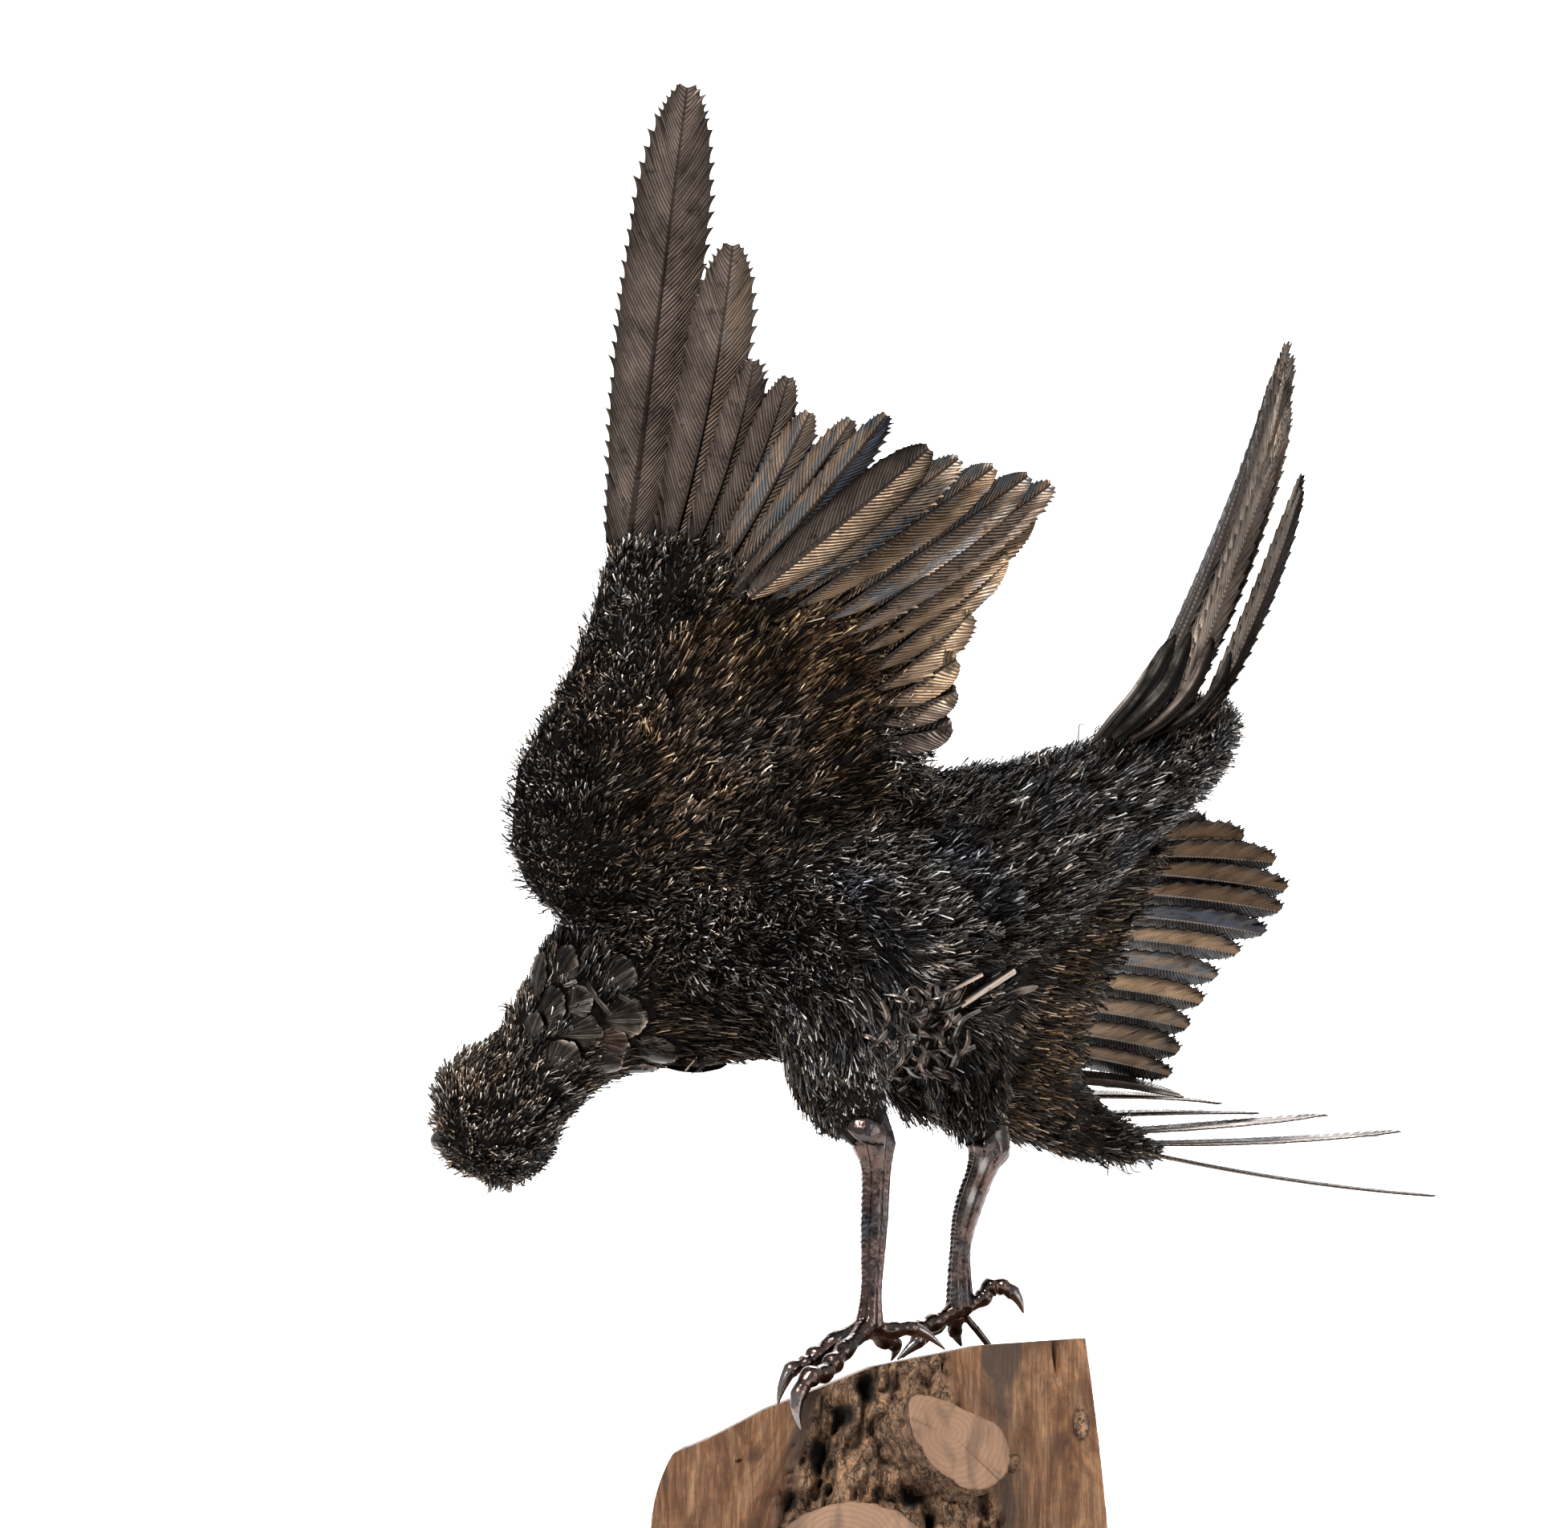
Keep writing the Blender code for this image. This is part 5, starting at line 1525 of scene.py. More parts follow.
@dataclass
class Head:
    """Beak, eyes and brows."""

    centre: Point = (-166, 10, 109)
    beak_way: Point = (0.02, 0.83, -0.56)
    left_way: Point = (-0.90, -0.20, -0.35)
    eye: float = 0.0048

    def __post_init__(self) -> None:
        """Work out the head's own directions."""
        self.fore = unit(np.array(self.beak_way))
        self.left = unit(np.array(self.left_way))
        self.crown = np.cross(self.fore, self.left)

    def at(self, forward: float, left: float, crown: float) -> np.ndarray:
        """A point in the head's own directions, in parts from its centre."""
        return spot(*self.centre) + (self.fore * forward + self.left * left + self.crown * crown) * MM

    def bare_spots(self) -> list[tuple[np.ndarray, float]]:
        """The eyes and the beak's root, which the slivers leave clear, with their radii."""
        return [(self.at(7, 25, 3), 0.0065), (self.at(7, -25, 3), 0.0065), (self.at(24, 0, 3), 0.0100)]

    def beak(self, finish: bpy.types.Material) -> None:
        """Upper and lower halves of the beak, a soft cere and two nostrils.

        Args:
            finish: The beak's steel.
        """
        shell = Shell()
        halves = (((20, 6, 9, 8), (29, 5, 8, 7), (37, 3.4, 6, 6), (44, 0.6, 4.2, 5.2),
                   (47.0, -3.5, 2.7, 3.3), (47.5, -7.5, 1.2, 1.5)),
                  ((20, 0.5, 7.5, 5), (30, -0.5, 6.4, 4), (38, -1.8, 4.6, 3), (43, -3.2, 2.8, 1.9),
                   (45, -3.9, 1.0, 0.8)))
        for line in halves:
            path = [self.at(forward, 0, crown) for forward, crown, _, _ in line]
            wide = [row[2] * MM for row in line]
            high = np.mean([row[3] / row[2] for row in line])
            points, faces = tube(path, wide, 40, 30, high, self.crown)
            shell.add(points, faces)
        cere = [self.at(forward, 0, crown) for forward, crown in ((19, 5), (24, 5.6), (29, 5.2), (31, 4.6))]
        shell.add(*tube(cere, (0.0088, 0.0095, 0.0086, 0.0070), 18, 30, 0.86, self.crown))
        for side in (-1, 1):
            ring = [self.at(27 + 1.3 * math.cos(turn), side * (7.6 - 0.25 * math.cos(turn)),
                            6.2 + 1.1 * math.sin(turn)) for turn in np.linspace(0, 2 * np.pi, 13)]
            points, faces = tube(ring, [0.0004] * 13, 40, 8, 1.0, self.left)
            shell.add(points, faces)
        place_piece(shell.piece("beak_halves", [finish], 40), "beak_steel", "beak")

    def eyes(self, bead: bpy.types.Material, rim: bpy.types.Material) -> None:
        """Beads in ring lids under a brow ridge.

        Args:
            bead: The glossy finish of the eyes.
            rim: The steel of lids and brows.
        """
        for side, name in ((1, "left_eye"), (-1, "right_eye")):
            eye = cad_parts[name]
            eye.data.materials.clear()
            eye.data.materials.append(bead)
            shell = Shell()
            lid = [self.at(7 + 4.5 * math.cos(turn), side * 25.2, 3 + 4.1 * math.sin(turn))
                   for turn in np.linspace(0, 2 * np.pi, 25)]
            shell.add(*tube(lid, [0.0008] * 25, 72, 9, 0.8, self.left))
            brow = [self.at(forward, side * left, crown)
                    for forward, left, crown in ((-3, 22.0, 7.6), (3, 24.2, 8.4), (10, 24.0, 7.4),
                                                 (16, 19.8, 6.2), (21, 13.5, 6.2))]
            shell.add(*tube(brow, (0.0006, 0.0016, 0.0019, 0.0016, 0.0008), 40, 12, 0.65, self.crown))
            place_piece(shell.piece(f"{name}_brow", [rim], 40), "beak_steel")


# Legs and feet

BLOCK_WIDTH = 0.200
BLOCK_DEPTH = 0.136
TOP_FALL = 0.055
BLOCK_TOP = ((-0.56, -1.0), (-0.425, -0.655), (-0.22, -0.31), (-0.02, 0.0), (0.21, 0.165), (0.56, 0.255))


def block_top(across: float | np.ndarray) -> np.ndarray:
    """Height of the block's sawn top at distances across it."""
    shares, rises = np.array(BLOCK_TOP).T
    return PERCH + np.interp(np.asarray(across) / BLOCK_WIDTH, shares, rises) * TOP_FALL


def on_block(across: float, deep: float, rise: float) -> np.ndarray:
    """A point of a foot, in parts, with its height over the sawn top below it."""
    return np.array((across * MM, deep * MM, block_top(across * MM) + rise * MM))


@dataclass
class Leg:
    """A bare leg: shank, knuckle, toes with their claws, and the pin that holds the foot."""

    name: str
    shank: tuple[Point, ...]
    foot: Point
    toes: tuple[tuple[Point, ...], ...]
    lean: float
    strut: tuple[Point, ...] = ()
    guard: tuple[Point, ...] = ()       # middle line of the oval plate over the joint
    wear_and_highlight: tuple[Point, ...] = ()      # places painted bright as a reflection
    knuckle: float = 0.0088
    tarsus: float = 0.0052
    toe: float = 0.0033
    voxel: float = 0.00048
    scute: float = 0.0017       # from one rib on the shank's front edge to the next

    def shank_tube(self) -> Body:
        """The shank, fluted lengthwise and ribbed on its front edge.

        Returns:
            Points and faces of a closed body.
        """
        path = [spot(*point) for point in self.shank] + [on_block(*self.foot)]
        radii = (self.knuckle * 0.8, self.knuckle, self.tarsus * 1.15, self.tarsus, self.tarsus * 0.8,
                 self.toe * 1.7)
        steps, sides = 150, 40
        points, faces = tube(path, radii, steps, sides, 1.0, (0, 1, 0))
        ring = points[:-2].reshape(steps, sides, 3)
        middle = ring.mean(1, keepdims=True)
        out = ring - middle
        turns = 2 * np.pi * np.arange(sides) / sides
        flute = 0.26 * np.abs(np.cos(turns * 2.5 + self.lean)) - 0.10 - 0.05 * np.cos(turns * 9)
        front = np.exp(-((turns - np.pi) / 0.65) ** 2)
        length = np.linalg.norm(path[-1] - path[0])
        down = np.linspace(0, 1, steps)[:, None]
        ribs = 0.09 * front * np.sin(2 * np.pi * down * length / self.scute)
        calm = np.clip((down - 0.14) * 9, 0, 1)
        ring = middle + out * (1 + (flute + ribs) * calm)[..., None]
        return np.concatenate([ring.reshape(-1, 3), points[-2:]]), faces

    def toe_tube(self, toe: tuple[Point, ...]) -> Body:
        """One toe with swollen joints, running into a curved claw.

        Args:
            toe: Points along it, the last of them on its claw.

        Returns:
            Points and faces of a closed body.
        """
        path = [on_block(*self.foot)] + [on_block(*point) for point in toe]
        bulges = [self.toe * (1.35 - 0.15 * (k % 2)) for k in range(len(path) - 3)]
        radii = bulges + [self.toe * 1.02, self.toe * 0.66, 0.0005]
        steps, sides = 110, 26
        points, faces = tube(path, radii, steps, sides, 0.95, (0, 0, 1))
        ring = points[:-2].reshape(steps, sides, 3)
        middle = ring.mean(1, keepdims=True)
        down = np.linspace(0, 1, steps)
        horn = 1 - 2.2 / len(path)
        swell = 1 + 0.13 * np.sin(down * (len(path) - 1) * 2.1 * np.pi) * np.clip((horn - down) * 10, 0, 1)
        cuff = 1 + 0.16 * np.exp(-((down - horn) / 0.025) ** 2)
        ring = middle + (ring - middle) * (swell * cuff)[:, None, None]
        return np.concatenate([ring.reshape(-1, 3), points[-2:]]), faces

    def build(self, finish: bpy.types.Material) -> None:
        """Melt the bodies together and dress the leg.

        Args:
            finish: The forged steel.
        """
        shell = Shell()
        shell.add(*self.shank_tube())
        for toe in self.toes:
            shell.add(*self.toe_tube(toe))
        if self.strut:
            shell.add(*tube([on_block(*point) for point in self.strut], (0.0016, 0.0016, 0.0015), 12, 16))
        if self.guard:
            shell.add(*tube([spot(*point) for point in self.guard], (0.0006, 0.0042, 0.0058, 0.0044, 0.0006),
                            36, 24, 0.50, (0.1, -1, 0.2)))
        raw = shell.piece("raw_" + self.name, [])
        melt = raw.modifiers.new("melt", "REMESH")
        melt.mode = "VOXEL"
        melt.voxel_size = self.voxel
        ease = raw.modifiers.new("ease", "SMOOTH")
        ease.factor = 0.4
        ease.iterations = 1
        bpy.context.view_layer.update()
        mesh = bpy.data.meshes.new_from_object(raw.evaluated_get(bpy.context.evaluated_depsgraph_get()))
        bpy.data.objects.remove(raw)
        points = read_rows(mesh.vertices, "co")
        normals = read_rows(mesh.vertices, "normal")
        polish_and_reflection = np.zeros(len(points))
        for toe in self.toes:
            claw = along_curve([on_block(*point) for point in toe], np.linspace(1 - 2.0 / len(toe), 1, 24))
            far = np.sqrt(((points[:, None] - claw[None]) ** 2).sum(-1)).min(1)
            polish_and_reflection = np.maximum(polish_and_reflection, np.clip(1.6 - far / 0.0032, 0, 1))
        # Painted reflections: the listed shank places are brightened like the claws.
        for place in self.wear_and_highlight:
            far = np.linalg.norm((points - spot(*place)) * (1.0, 1.0, 0.6), axis=1)
            polish_and_reflection = np.maximum(polish_and_reflection, np.clip(1.5 - far / 0.0022, 0, 1))
        relief = rough_grain(points, (420, 420, 420), 41, 3) * 0.00022 * (1 - polish_and_reflection)
        points += normals * relief[:, None]
        mesh.vertices.foreach_set("co", points.astype(np.float32).ravel())
        layer = mesh.attributes.new("polish_and_reflection", "FLOAT", "POINT")
        layer.data.foreach_set("value", (polish_and_reflection * 0.75).astype(np.float32))
        mesh.shade_smooth()
        mesh.materials.append(finish)
        mesh.name = self.name + "_forged"
        place_piece(put_in_scene(self.name + "_forged", mesh), "forged_leg", self.name)


NEAR_LEG = Leg(
    "near_leg",
    shank=((-4, -31, 108), (-3, -31, 97), (-2, -31, 84), (-3, -32, 56), (-4, -33, 33)),
    foot=(-5, -34, 18),
    toes=(((-17, -40, 18), (-27, -46, 15), (-32, -50, 13), (-38, -54, 13.5), (-42, -57, 8), (-44, -59, 1)),
          ((-14, -48, 13), (-20, -57, 9), (-24, -64, 6), (-30, -71, 7), (-35, -76, 2), (-36, -78, -6),
           (-34, -77, -14)),
          ((1, -16, 11), (6, -8, 8), (7, -4, 5), (5, -2, 0.6)),
          ((4, -31, 14), (13, -27, 13), (20, -25, 9), (28, -23, 1))),
    lean=0.4,
    guard=((-15, -40, 105), (-11.5, -43, 103.5), (-6, -44.5, 101), (-1, -43, 98), (2, -40, 95)))
FAR_LEG = Leg(
    "far_leg",
    shank=((50, 33, 106), (49, 33, 96), (46, 33, 87), (39, 34, 67), (36, 35, 49)),
    foot=(36, 37, 18),
    toes=(((26, 32, 14), (19, 28, 12), (17, 26, 7), (13, 24, 4), (8, 22, 0.6)),
          ((34, 46, 9), (35, 50, 5), (37, 52, 0.6)),
          ((27, 52, 13), (20, 56, 8), (15, 58, 5), (11, 59, 0.6)),
          ((45, 40, 20), (49, 41, 24.5), (54, 42, 25), (59, 43, 22), (62, 43, 18), (64, 44, 12.5))),
    lean=2.0,
    wear_and_highlight=((41, 28, 74), (46, 27, 88)),
    strut=((38, 40, 14), (43.5, 41, 6.5), (49, 42, -1)))


# Plinth

@dataclass(frozen=True)
class Stub:
    """A sawn branch: where it leaves the bark, its way, and its outline as radii by angle."""

    name: str
    centre: Point
    way: Point
    reach: float
    outline: tuple[float, ...]      # radii in millimetres at even angles, from +X turning up


@dataclass
class Plinth:
    """The block of trunk: sawn sides and top, bark on the front, two sawn branches and two knots."""

    corner: float = 3.2
    taper: float = 0.87
    bulge: float = 0.020
    step: float = 0.00135
    stubs: tuple[Stub, ...] = (
        Stub("upper_stub", (0.0275, -0.0825, 0.0990), (0.42, -1, 0.22), 0.0135,
             (21, 18.5, 15, 14, 15.5, 20, 27, 23.5, 18.5, 16.5, 15.5, 16, 18.5, 21.5, 23, 23.5)),
        Stub("lower_stub", (-0.012, -0.0880, 0.0455), (-0.1, -1, 0.35), 0.0135,
             (35, 33, 31, 29, 28, 29, 31, 34, 35, 33, 31, 29, 28, 28, 30, 33)))
    pits: tuple[tuple[float, float, float], ...] = (
        (-16, 113, 5.5), (-8, 124, 4.0), (-27, 98, 4.0), (13, 80, 4.2), (-38, 76, 4.0), (44, 62, 3.6),
        (2, 96, 3.0), (-4, 107, 2.8))

    def ring(self, count: int) -> np.ndarray:
        """Plan of the block at its foot.

        Args:
            count: How many points it has, evenly spaced.

        Returns:
            One row of X and Y for each point, in metres.
        """
        turns = np.linspace(0, 2 * np.pi, 6001)
        c, s = np.cos(turns), np.sin(turns)
        power = 2 / self.corner
        line = np.stack([BLOCK_WIDTH / 2 * np.sign(c) * np.abs(c) ** power,
                         BLOCK_DEPTH / 2 * np.sign(s) * np.abs(s) ** power], -1)
        run = np.concatenate([[0], np.cumsum(np.linalg.norm(np.diff(line, axis=0), axis=1))])
        marks = np.linspace(0, run[-1], count, endpoint=False)
        return np.stack([np.interp(marks, run, line[:, k]) for k in (0, 1)], -1)

    def bark_front(self, across: np.ndarray, height: np.ndarray) -> tuple[np.ndarray, np.ndarray]:
        """Where the bark's face is, and how much a place belongs to it.

        Args:
            across: Distances across, in metres.
            height: Heights, in metres.

        Returns:
            The face's y, and a share from 0 on sawn wood to 1 on bark.
        """
        share = np.clip((height / PERCH - 0.02) / 0.92, 0, 1)
        half = BLOCK_WIDTH * (0.25 - 0.12 * share ** 1.5)
        stand = self.bulge * (1.5 - 0.6 * share)
        middle = BLOCK_WIDTH * 0.03 * np.sin(3 * share)
        off = (across - middle) / half
        face = -BLOCK_DEPTH / 2 + self.bulge / 2 - stand * np.sqrt(np.maximum(0, 1 - off ** 2))
        edge = np.where(off < 0, 1.42 - 0.30 * share, 1.14)
        return face, np.clip((edge - np.abs(off)) * 6, 0, 1)

    def block(self, finish: bpy.types.Material) -> None:
        """The block's sides, top and underside as one closed body.

        Args:
            finish: The trunk's wood and bark.
        """
        plan = self.ring(430)
        count = len(plan)
        tall = block_top(BLOCK_WIDTH)
        rows = int(tall / self.step / 1.12)
        share = np.linspace(0, 1, rows)[:, None]
        lip = block_top(plan[:, 0] * self.taper)
        height = share * lip
        narrow = 1 - (1 - self.taper) * (height / tall) ** 1.6
        x = plan[:, 0] * narrow
        x = np.where(x < 0, x * 1.02, x)
        x = x + 0.0060 * np.clip((share - 0.70) / 0.30, 0, 1) ** 2.2 * np.clip((-x - 0.05) / 0.03, 0, 1)
        y = np.broadcast_to(plan[:, 1], x.shape).copy()
        face, bark = self.bark_front(x, height)
        edge = grain(np.stack([x, y, height], -1).reshape(-1, 3), (60, 60, 60), 71).reshape(x.shape) * 0.3
        seen = y < -0.02
        bark = np.where(seen, np.clip(bark + edge * (bark > 0) * (bark < 1), 0, 1), 0.0)
        front = seen & (face < y + 0.006)
        softened = -np.logaddexp(-face * 420, -y * 420) / 420
        y = np.where(front, np.minimum(softened, y), y)
        points = np.stack([x, y, height], -1)
        out = unit(np.stack([x / BLOCK_WIDTH, y / BLOCK_DEPTH * 1.6, np.zeros_like(x)], -1))
        out = np.where(bark[..., None] > 0.3, unit(out * 0.3 + np.array((0, -1, 0))), out)
        flat = points.reshape(-1, 3)

        def noise(scale: Point, seed: int, octaves: int = 3) -> np.ndarray:
            """Noise over the points of the sides, as they were before their relief."""
            return rough_grain(flat, scale, seed, octaves).reshape(x.shape)

        crust = noise((150, 150, 75), 51, 4)
        slabs = np.clip((noise((80, 80, 50), 57) + 0.05) * 4.5, 0, 1)
        cracks = np.clip((1 - np.abs(noise((85, 85, 34), 61)) - 0.84) * 8, 0, 1)
        relief = bark * (crust * 0.0048 + slabs * 0.0056 - cracks * 0.0062 - 0.0016)
        relief += (1 - bark) * noise((60, 60, 300), 81) * 0.00022
        # The pit value paints shade into the pits, round the oval and into the bark's cracks.
        pit = np.zeros_like(x)
        for across, up, size in self.pits:
            far = np.hypot(x - across * MM, (height - up * MM) * 0.8) / (size * MM) * (1 + 1.1 * crust)
            hole = np.exp(-np.maximum(far, 0) ** 2.4) * seen
            relief -= hole * 0.0100
            pit = np.maximum(pit, np.clip(hole * 1.6, 0, 1))
        split = np.exp(-((x - 0.0735 - (tall - height) * 0.10) / 0.0010) ** 2) * (y < 0) * np.clip(
            (height - 0.125) / 0.012, 0, 1)
        relief -= split * 0.0045
        oval = np.hypot((x - 0.0843) / 0.0036, (height - 0.1085) / 0.0062) + np.where(y < 0, 0.0, 9.0)
        oval = oval * (1 + 0.25 * crust)
        bark = np.maximum(bark, np.clip((1.25 - oval) * 4, 0, 1))
        relief += np.clip(1.15 - oval, 0, 1) * (0.0012 + 0.0016 * crust)
        pit = np.maximum(pit, np.exp(-((oval - 1.05) / 0.22) ** 2) * 0.9)
        ends = np.clip(np.minimum(share * 14, (1 - share) * 18 + 0.25), 0, 1)
        points = points + out * (relief * ends)[..., None]
        pit = np.maximum(pit, cracks * bark * 0.45)
        stain = np.clip(noise((38, 38, 20), 91) * 1.4 - 0.2 + split, 0, 1)
        # Painted shade in the valley beside the bark's left edge, and a painted shadow band on the right of
        # the front, both added to the stain value.
        valley_shade = np.exp(-((x + 0.044 - 0.25 * (height - 0.06)) / 0.007) ** 2) * seen
        streaks = 0.55 + 0.9 * noise((150, 150, 14), 95)
        fade = 0.80 + 0.20 * np.clip((height - 0.06) / 0.10, 0, 1)
        shadow = np.exp(-((x - 0.056) / 0.017) ** 4) * fade * seen * streaks
        stain = np.clip(stain + valley_shade * 0.9 + shadow * 0.95, 0, 1)
        shell = Shell()
        shares = np.linspace(1, 0, 46)[1:-1, None, None]
        rim = points[-1]
        centre = np.array((rim[:, 0].mean(), 0.0, 0.0))
        inner = centre + (rim - centre) * shares
        level = block_top(inner[..., 0])
        lipped = rim[:, 2] - block_top(rim[:, 0])
        inner[..., 2] = level + lipped * shares[..., 0] ** 8
        figure = rough_grain(inner.reshape(-1, 3), (220, 60, 60), 15, 3).reshape(level.shape)
        inner[..., 2] += figure * 0.00025
        heart = np.array([[centre[0], 0.0, block_top(centre[0])]])
        foot = np.array([[0.0, 0.0, 0.0]])
        every = np.concatenate([points.reshape(-1, 3), inner.reshape(-1, 3), heart, foot])
        total = rows + inner.shape[0]
        caps = end_caps(total, count, total * count + 1, total * count)
        spare = len(every) - rows * count
        shell.add(every, [grid_faces(total, count, True), caps],
                  bark=np.concatenate([bark.ravel(), np.zeros(spare)]),
                  pit=np.concatenate([pit.ravel(), np.zeros(spare)]),
                  stain=np.concatenate([stain.ravel(), np.full(spare, 0.15)]))
        place_piece(shell.piece("trunk_block", [finish], 48), "trunk_wood", "plinth")

    def stub(self, stub: Stub, cut: bpy.types.Material, bark: bpy.types.Material) -> None:
        """A sawn branch with a flat ringed face and a barky wall.

        Args:
            stub: Which branch.
            cut: The finish of its sawn face.
            bark: The finish of its wall.
        """
        way = unit(np.array(stub.way, float))
        first = unit(np.cross(way, (0, 0, 1)))
        first = first if first[0] > 0 else -first
        second = np.cross(first, way)
        second = second if second[2] > 0 else -second
        count = 168
        turns = 2 * np.pi * np.arange(count) / count
        loop = np.array([*stub.outline, stub.outline[0]])
        radius = along_curve(loop, turns / (2 * np.pi)) * MM
        ray = first * np.cos(turns)[:, None] + second * np.sin(turns)[:, None]
        centre = np.array(stub.centre)
        levels = ((-2.4, 1.16), (-1.6, 1.14), (-0.9, 1.12), (-0.3, 1.10), (0.2, 1.08), (0.6, 1.06),
                  (0.85, 1.045), (0.96, 1.02), (1.0, 0.985))
        wall = np.stack([centre + way * stub.reach * along + ray * (radius * scale)[:, None]
                         for along, scale in levels])
        bumps = rough_grain(wall.reshape(-1, 3), (170, 120, 230), 33, 5).reshape(wall.shape[:2]) - 0.15
        hold = np.array([1, 1, 1, 1, 1, 0.9, 0.7, 0.35, 0.08])[:, None]
        wall = wall + ray[None] * (bumps * 0.0036 * hold)[..., None]
        shares = np.linspace(1, 0, 26)[1:-1, None, None]
        face_centre = centre + way * stub.reach
        face = face_centre + (wall[-1] - face_centre) * shares
        far = np.linalg.norm(face - face_centre, axis=-1)
        waves = grain(face.reshape(-1, 3), (90,) * 3, 7).reshape(far.shape)
        face = face + way * (np.sin(far / 0.00062) * 0.00002 + waves * 0.00015)[..., None]
        for angle, width in ((0.9, 0.05), (2.7, 0.035), (4.4, 0.06), (5.6, 0.03)):
            wedge = np.exp(-((turns - angle) / width) ** 2)[None] * np.clip(far / radius.mean(), 0, 1) ** 2
            face = face - way * (wedge * 0.0008)[..., None]
        points = np.concatenate([wall.reshape(-1, 3), face.reshape(-1, 3), [face_centre],
                                 [centre - way * stub.reach * 2.4]])
        total = len(levels) + len(face)
        faces = grid_faces(total, count, True)
        caps = end_caps(total, count, total * count + 1, total * count)
        kinds = np.where(faces.min(1) >= (len(levels) - 2) * count, 0, 1)
        cap_kinds = np.repeat([1, 0], count)
        shell = Shell()
        dark = np.repeat([0.3, 0.2, 0.1, 0.1, 0.1, 0.2, 0.4, 0.6, 0.5], count)
        dark = np.concatenate([dark, np.zeros(len(points) - len(dark))])
        shell.add(points, [faces, caps], [kinds, cap_kinds], bark=1.0, pit=dark, stain=0.0)
        place_piece(shell.piece(stub.name, [cut, bark], 40), "trunk_wood", "plinth")

    def knot(self, finish: bpy.types.Material) -> None:
        """The small knot beside the bark.

        Args:
            finish: The trunk's wood and bark.
        """
        centre = np.array((0.0555, -0.0705, 0.093))
        up = np.array((0, 0, 1))
        look = unit(np.array((0.3, -1, 0)))
        side = unit(np.cross(up, look))
        turns = np.linspace(0, 2 * np.pi, 49)
        rings = np.array((1.0, 0.86, 0.70, 0.4, 0.02))[:, None]
        lift = np.array((-0.0015, 0.0012, 0.0002, 0.0008, 0.0010))[:, None] * np.ones_like(turns)
        spread = rings * (1 + 0.06 * np.sin(turns * 3 + centre[0] * 900) + 0.03 * np.sin(turns * 7)) * MM
        grid = (centre + side * (3.8 * spread * np.cos(turns))[..., None]
                + up * (4.4 * spread * np.sin(turns))[..., None] + look * lift[..., None])
        points, faces = sheet_body(grid, np.broadcast_to(look, grid.shape), 0.004)
        shell = Shell()
        shell.add(points, faces, bark=0.55, pit=0.1, stain=0.6)
        place_piece(shell.piece("knots", [finish], 40), "trunk_wood", "plinth")

    def build(self, trunk: bpy.types.Material) -> None:
        """Make the block and what grows on it.

        Args:
            trunk: The finish of wood and bark.
        """
        self.block(trunk)
        for stub in self.stubs:
            heart = tuple(np.array(stub.centre) + unit(np.array(stub.way, float)) * stub.reach
                          + np.array((-0.004, 0, 0.003)))
            cut = CutEndFinish(stub.name + "_cut", heart, stub.way).build()
            self.stub(stub, cut, trunk)
        self.knot(trunk)


# Studio

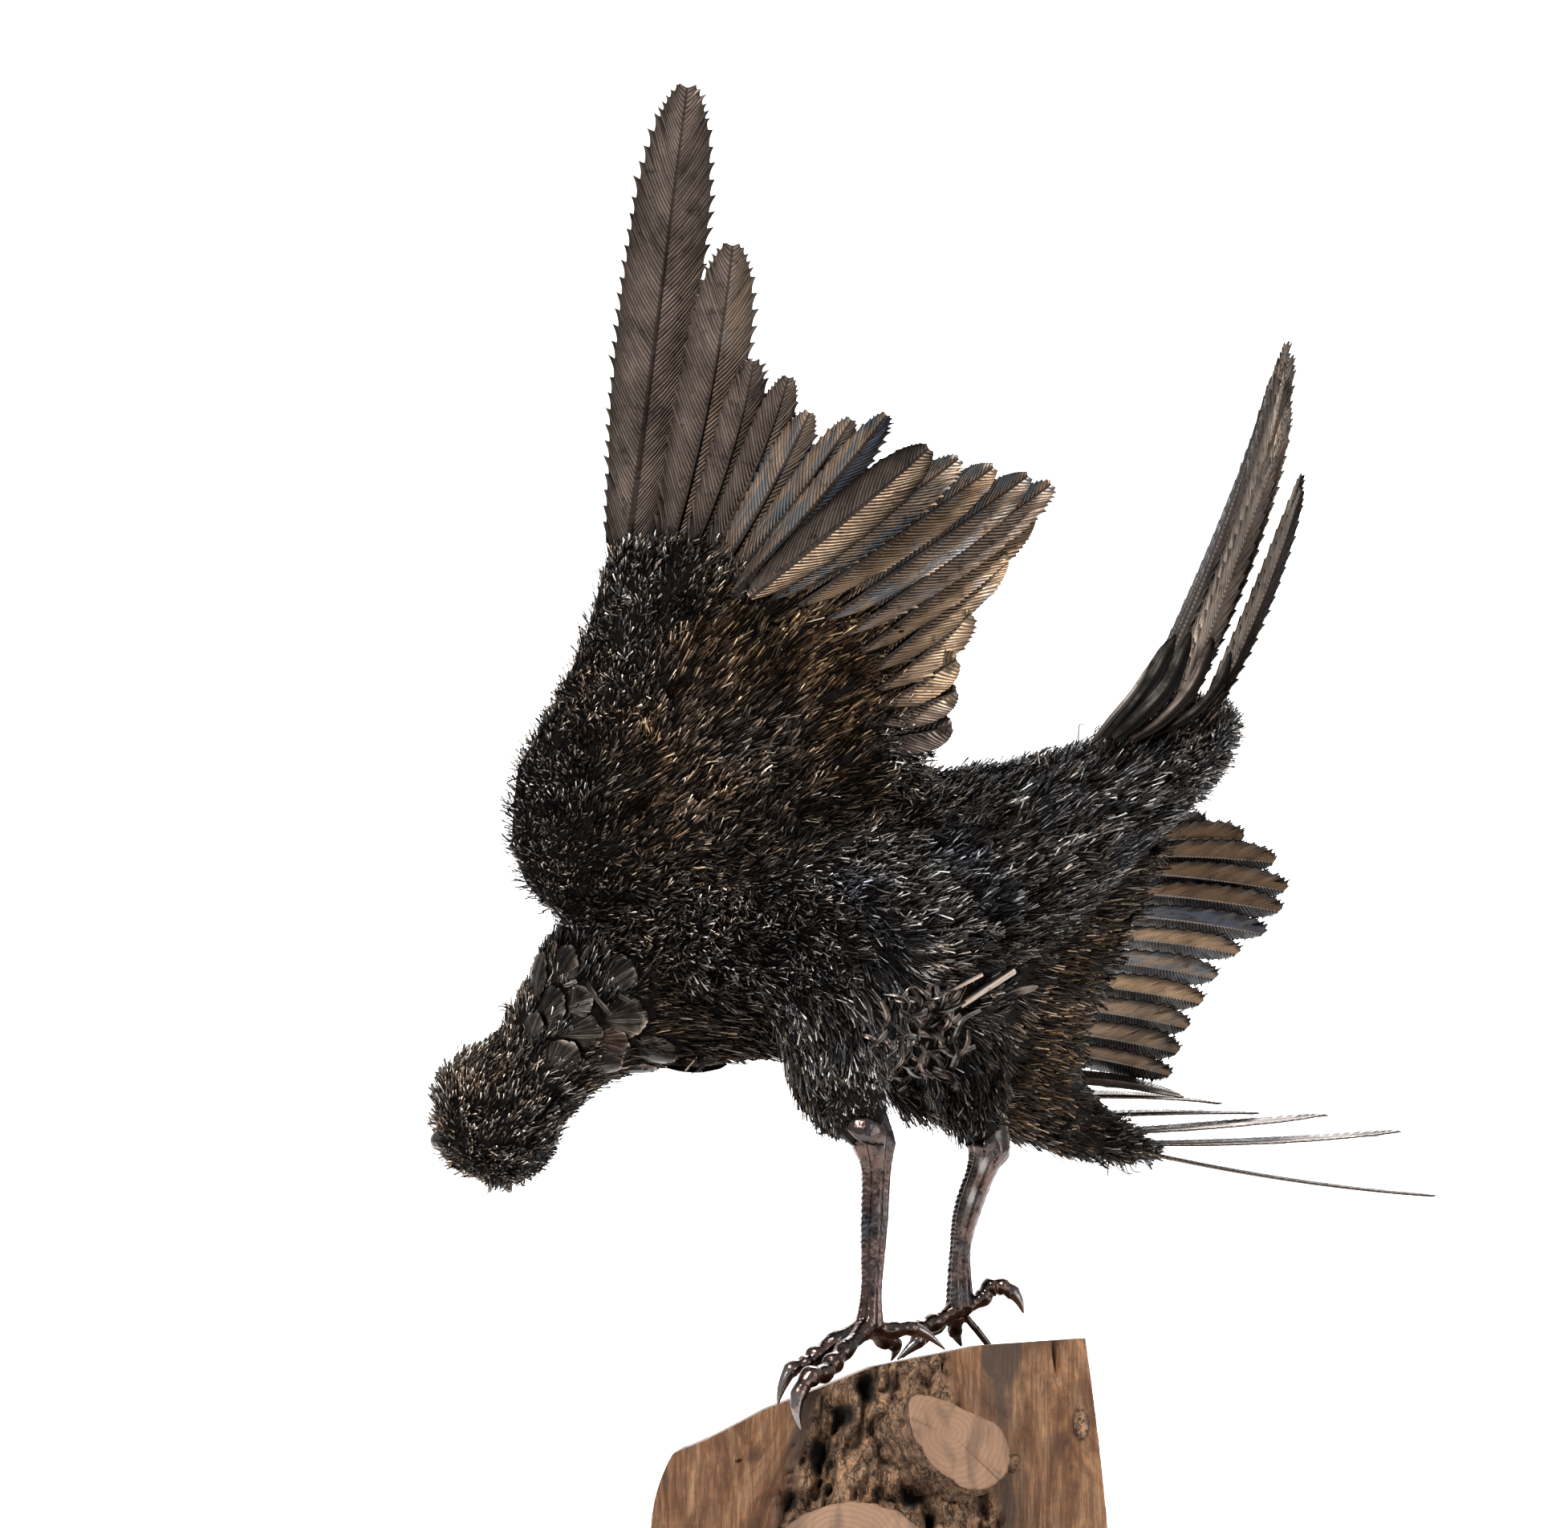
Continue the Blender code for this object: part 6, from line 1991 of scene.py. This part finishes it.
@dataclass
class Studio:
    """Pale floor that sweeps up behind the work, soft lights and the camera."""

    eye: Point = (-0.0413, -3.000, 0.140)
    aim: Point = (-0.0413, 0.0, 0.3948)
    lens: float = 158.486
    sensor: float = 36.0
    floor_half: float = 4.0
    bend_start: float = 2.4
    bend_radius: float = 1.2
    wall: float = 3.5

    def sweep(self) -> None:
        """Floor and backdrop as one curved sheet."""
        profile = [(-self.floor_half, 0.0), (self.bend_start, 0.0)]
        for turn in np.linspace(0, np.pi / 2, 17)[1:]:
            profile.append((self.bend_start + self.bend_radius * math.sin(turn),
                            self.bend_radius * (1 - math.cos(turn))))
        profile.append((profile[-1][0], self.wall))
        rows = np.array([[(side * self.floor_half, y, z) for side in (1, -1)] for y, z in profile])
        ways = unit(np.gradient(np.array(profile), axis=0))
        normals = np.stack([np.zeros(len(ways)), -ways[:, 1], ways[:, 0]], -1)
        points, faces = sheet_body(rows - np.array((0, 0, 0.0004)),
                                   np.repeat(normals[:, None], 2, axis=1), 0.01)
        net = Net("paper", 0.9, 0.0)
        net.out(Base_Color=net.ramp(net.noise(1.5, 2.0), ((0.3, (0.90, 0.90, 0.905)),
                                                          (0.7, (0.93, 0.93, 0.935)))))
        shell = Shell()
        shell.add(points, faces)
        shell.piece("sweep", [net.material], 60)

    def light(self, name: str, place: Point, aim: Point, size: float, power: float, colour: Colour) -> None:
        """A square soft light.

        Args:
            name: Its name.
            place: Where it stands.
            aim: What it points at.
            size: Its side in metres.
            power: Its power in watts.
            colour: Its colour.
        """
        lamp = bpy.data.lights.new(name, "AREA")
        lamp.size = size
        lamp.energy = power
        lamp.color = colour
        made = put_in_scene(name, lamp)
        made.location = place
        made.rotation_euler = (Vector(aim) - Vector(place)).to_track_quat("-Z", "Y").to_euler()

    def build(self) -> None:
        """Set up the sweep, the lights, the sky and the camera."""
        scene = bpy.context.scene
        self.sweep()
        middle = (0.0, 0.0, 0.35)
        self.light("key", (-0.9, -1.8, 2.3), middle, 0.7, 95.0, (1.0, 0.985, 0.96))
        self.light("fill", (1.9, -1.5, 0.9), middle, 1.4, 20.0, (0.94, 0.97, 1.0))
        self.light("back", (0.5, 1.9, 2.0), middle, 1.2, 45.0, (1.0, 1.0, 1.0))
        self.light("wash", (0.0, 1.7, 2.6), (0.0, 3.4, 0.9), 2.2, 140.0, (1.0, 1.0, 1.0))
        world = bpy.data.worlds.new("sky")
        world.use_nodes = True
        sky = world.node_tree.nodes["Background"]
        sky.inputs["Color"].default_value = (0.97, 0.98, 1.0, 1.0)
        sky.inputs["Strength"].default_value = 0.62
        scene.world = world
        scene.view_settings.view_transform = "Standard"
        camera = bpy.data.cameras.new("camera")
        camera.lens = self.lens
        camera.sensor_width = self.sensor
        camera.clip_start = 0.05
        camera.clip_end = 50.0
        made = put_in_scene("camera", camera)
        made.location = self.eye
        made.rotation_euler = (Vector(self.aim) - Vector(self.eye)).to_track_quat("-Z", "Y").to_euler()
        scene.camera = made


def main() -> None:
    """Build the work, piece by piece."""
    logging.basicConfig(level=logging.INFO, format="%(name)s: %(message)s")
    Studio().build()
    sliver = SliverFinish().build()
    finishes = {tint: tint.value.build() for tint in Tint}
    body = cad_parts["plumed_body"]
    # The skin under the slivers is painted near-black as shade in the gaps between them.
    body.data.materials.clear()
    body.data.materials.append(finishes[Tint.PAINTED_SHADE_SKIN])
    trimmings = Trimmings(Skin(), finishes, sliver)
    head = Head()
    knees = [(spot(-3, -31, 92), 0.0195), (spot(49, 33, 92), 0.0170)]
    Plumage(trimmings.bare_spots() + head.bare_spots() + knees).build(sliver)
    for fan in (NEAR_FAN, FAR_FAN, TAIL_FAN):
        fan.build(finishes)
    trimmings.build()
    horn = HornFinish().build()
    head.beak(horn)
    head.eyes(BeadFinish().build(), horn)
    forged = ForgedFinish().build()
    for leg in (NEAR_LEG, FAR_LEG):
        leg.build(forged)
    Plinth().build(TrunkFinish().build())


if __name__ == "__main__":
    main()
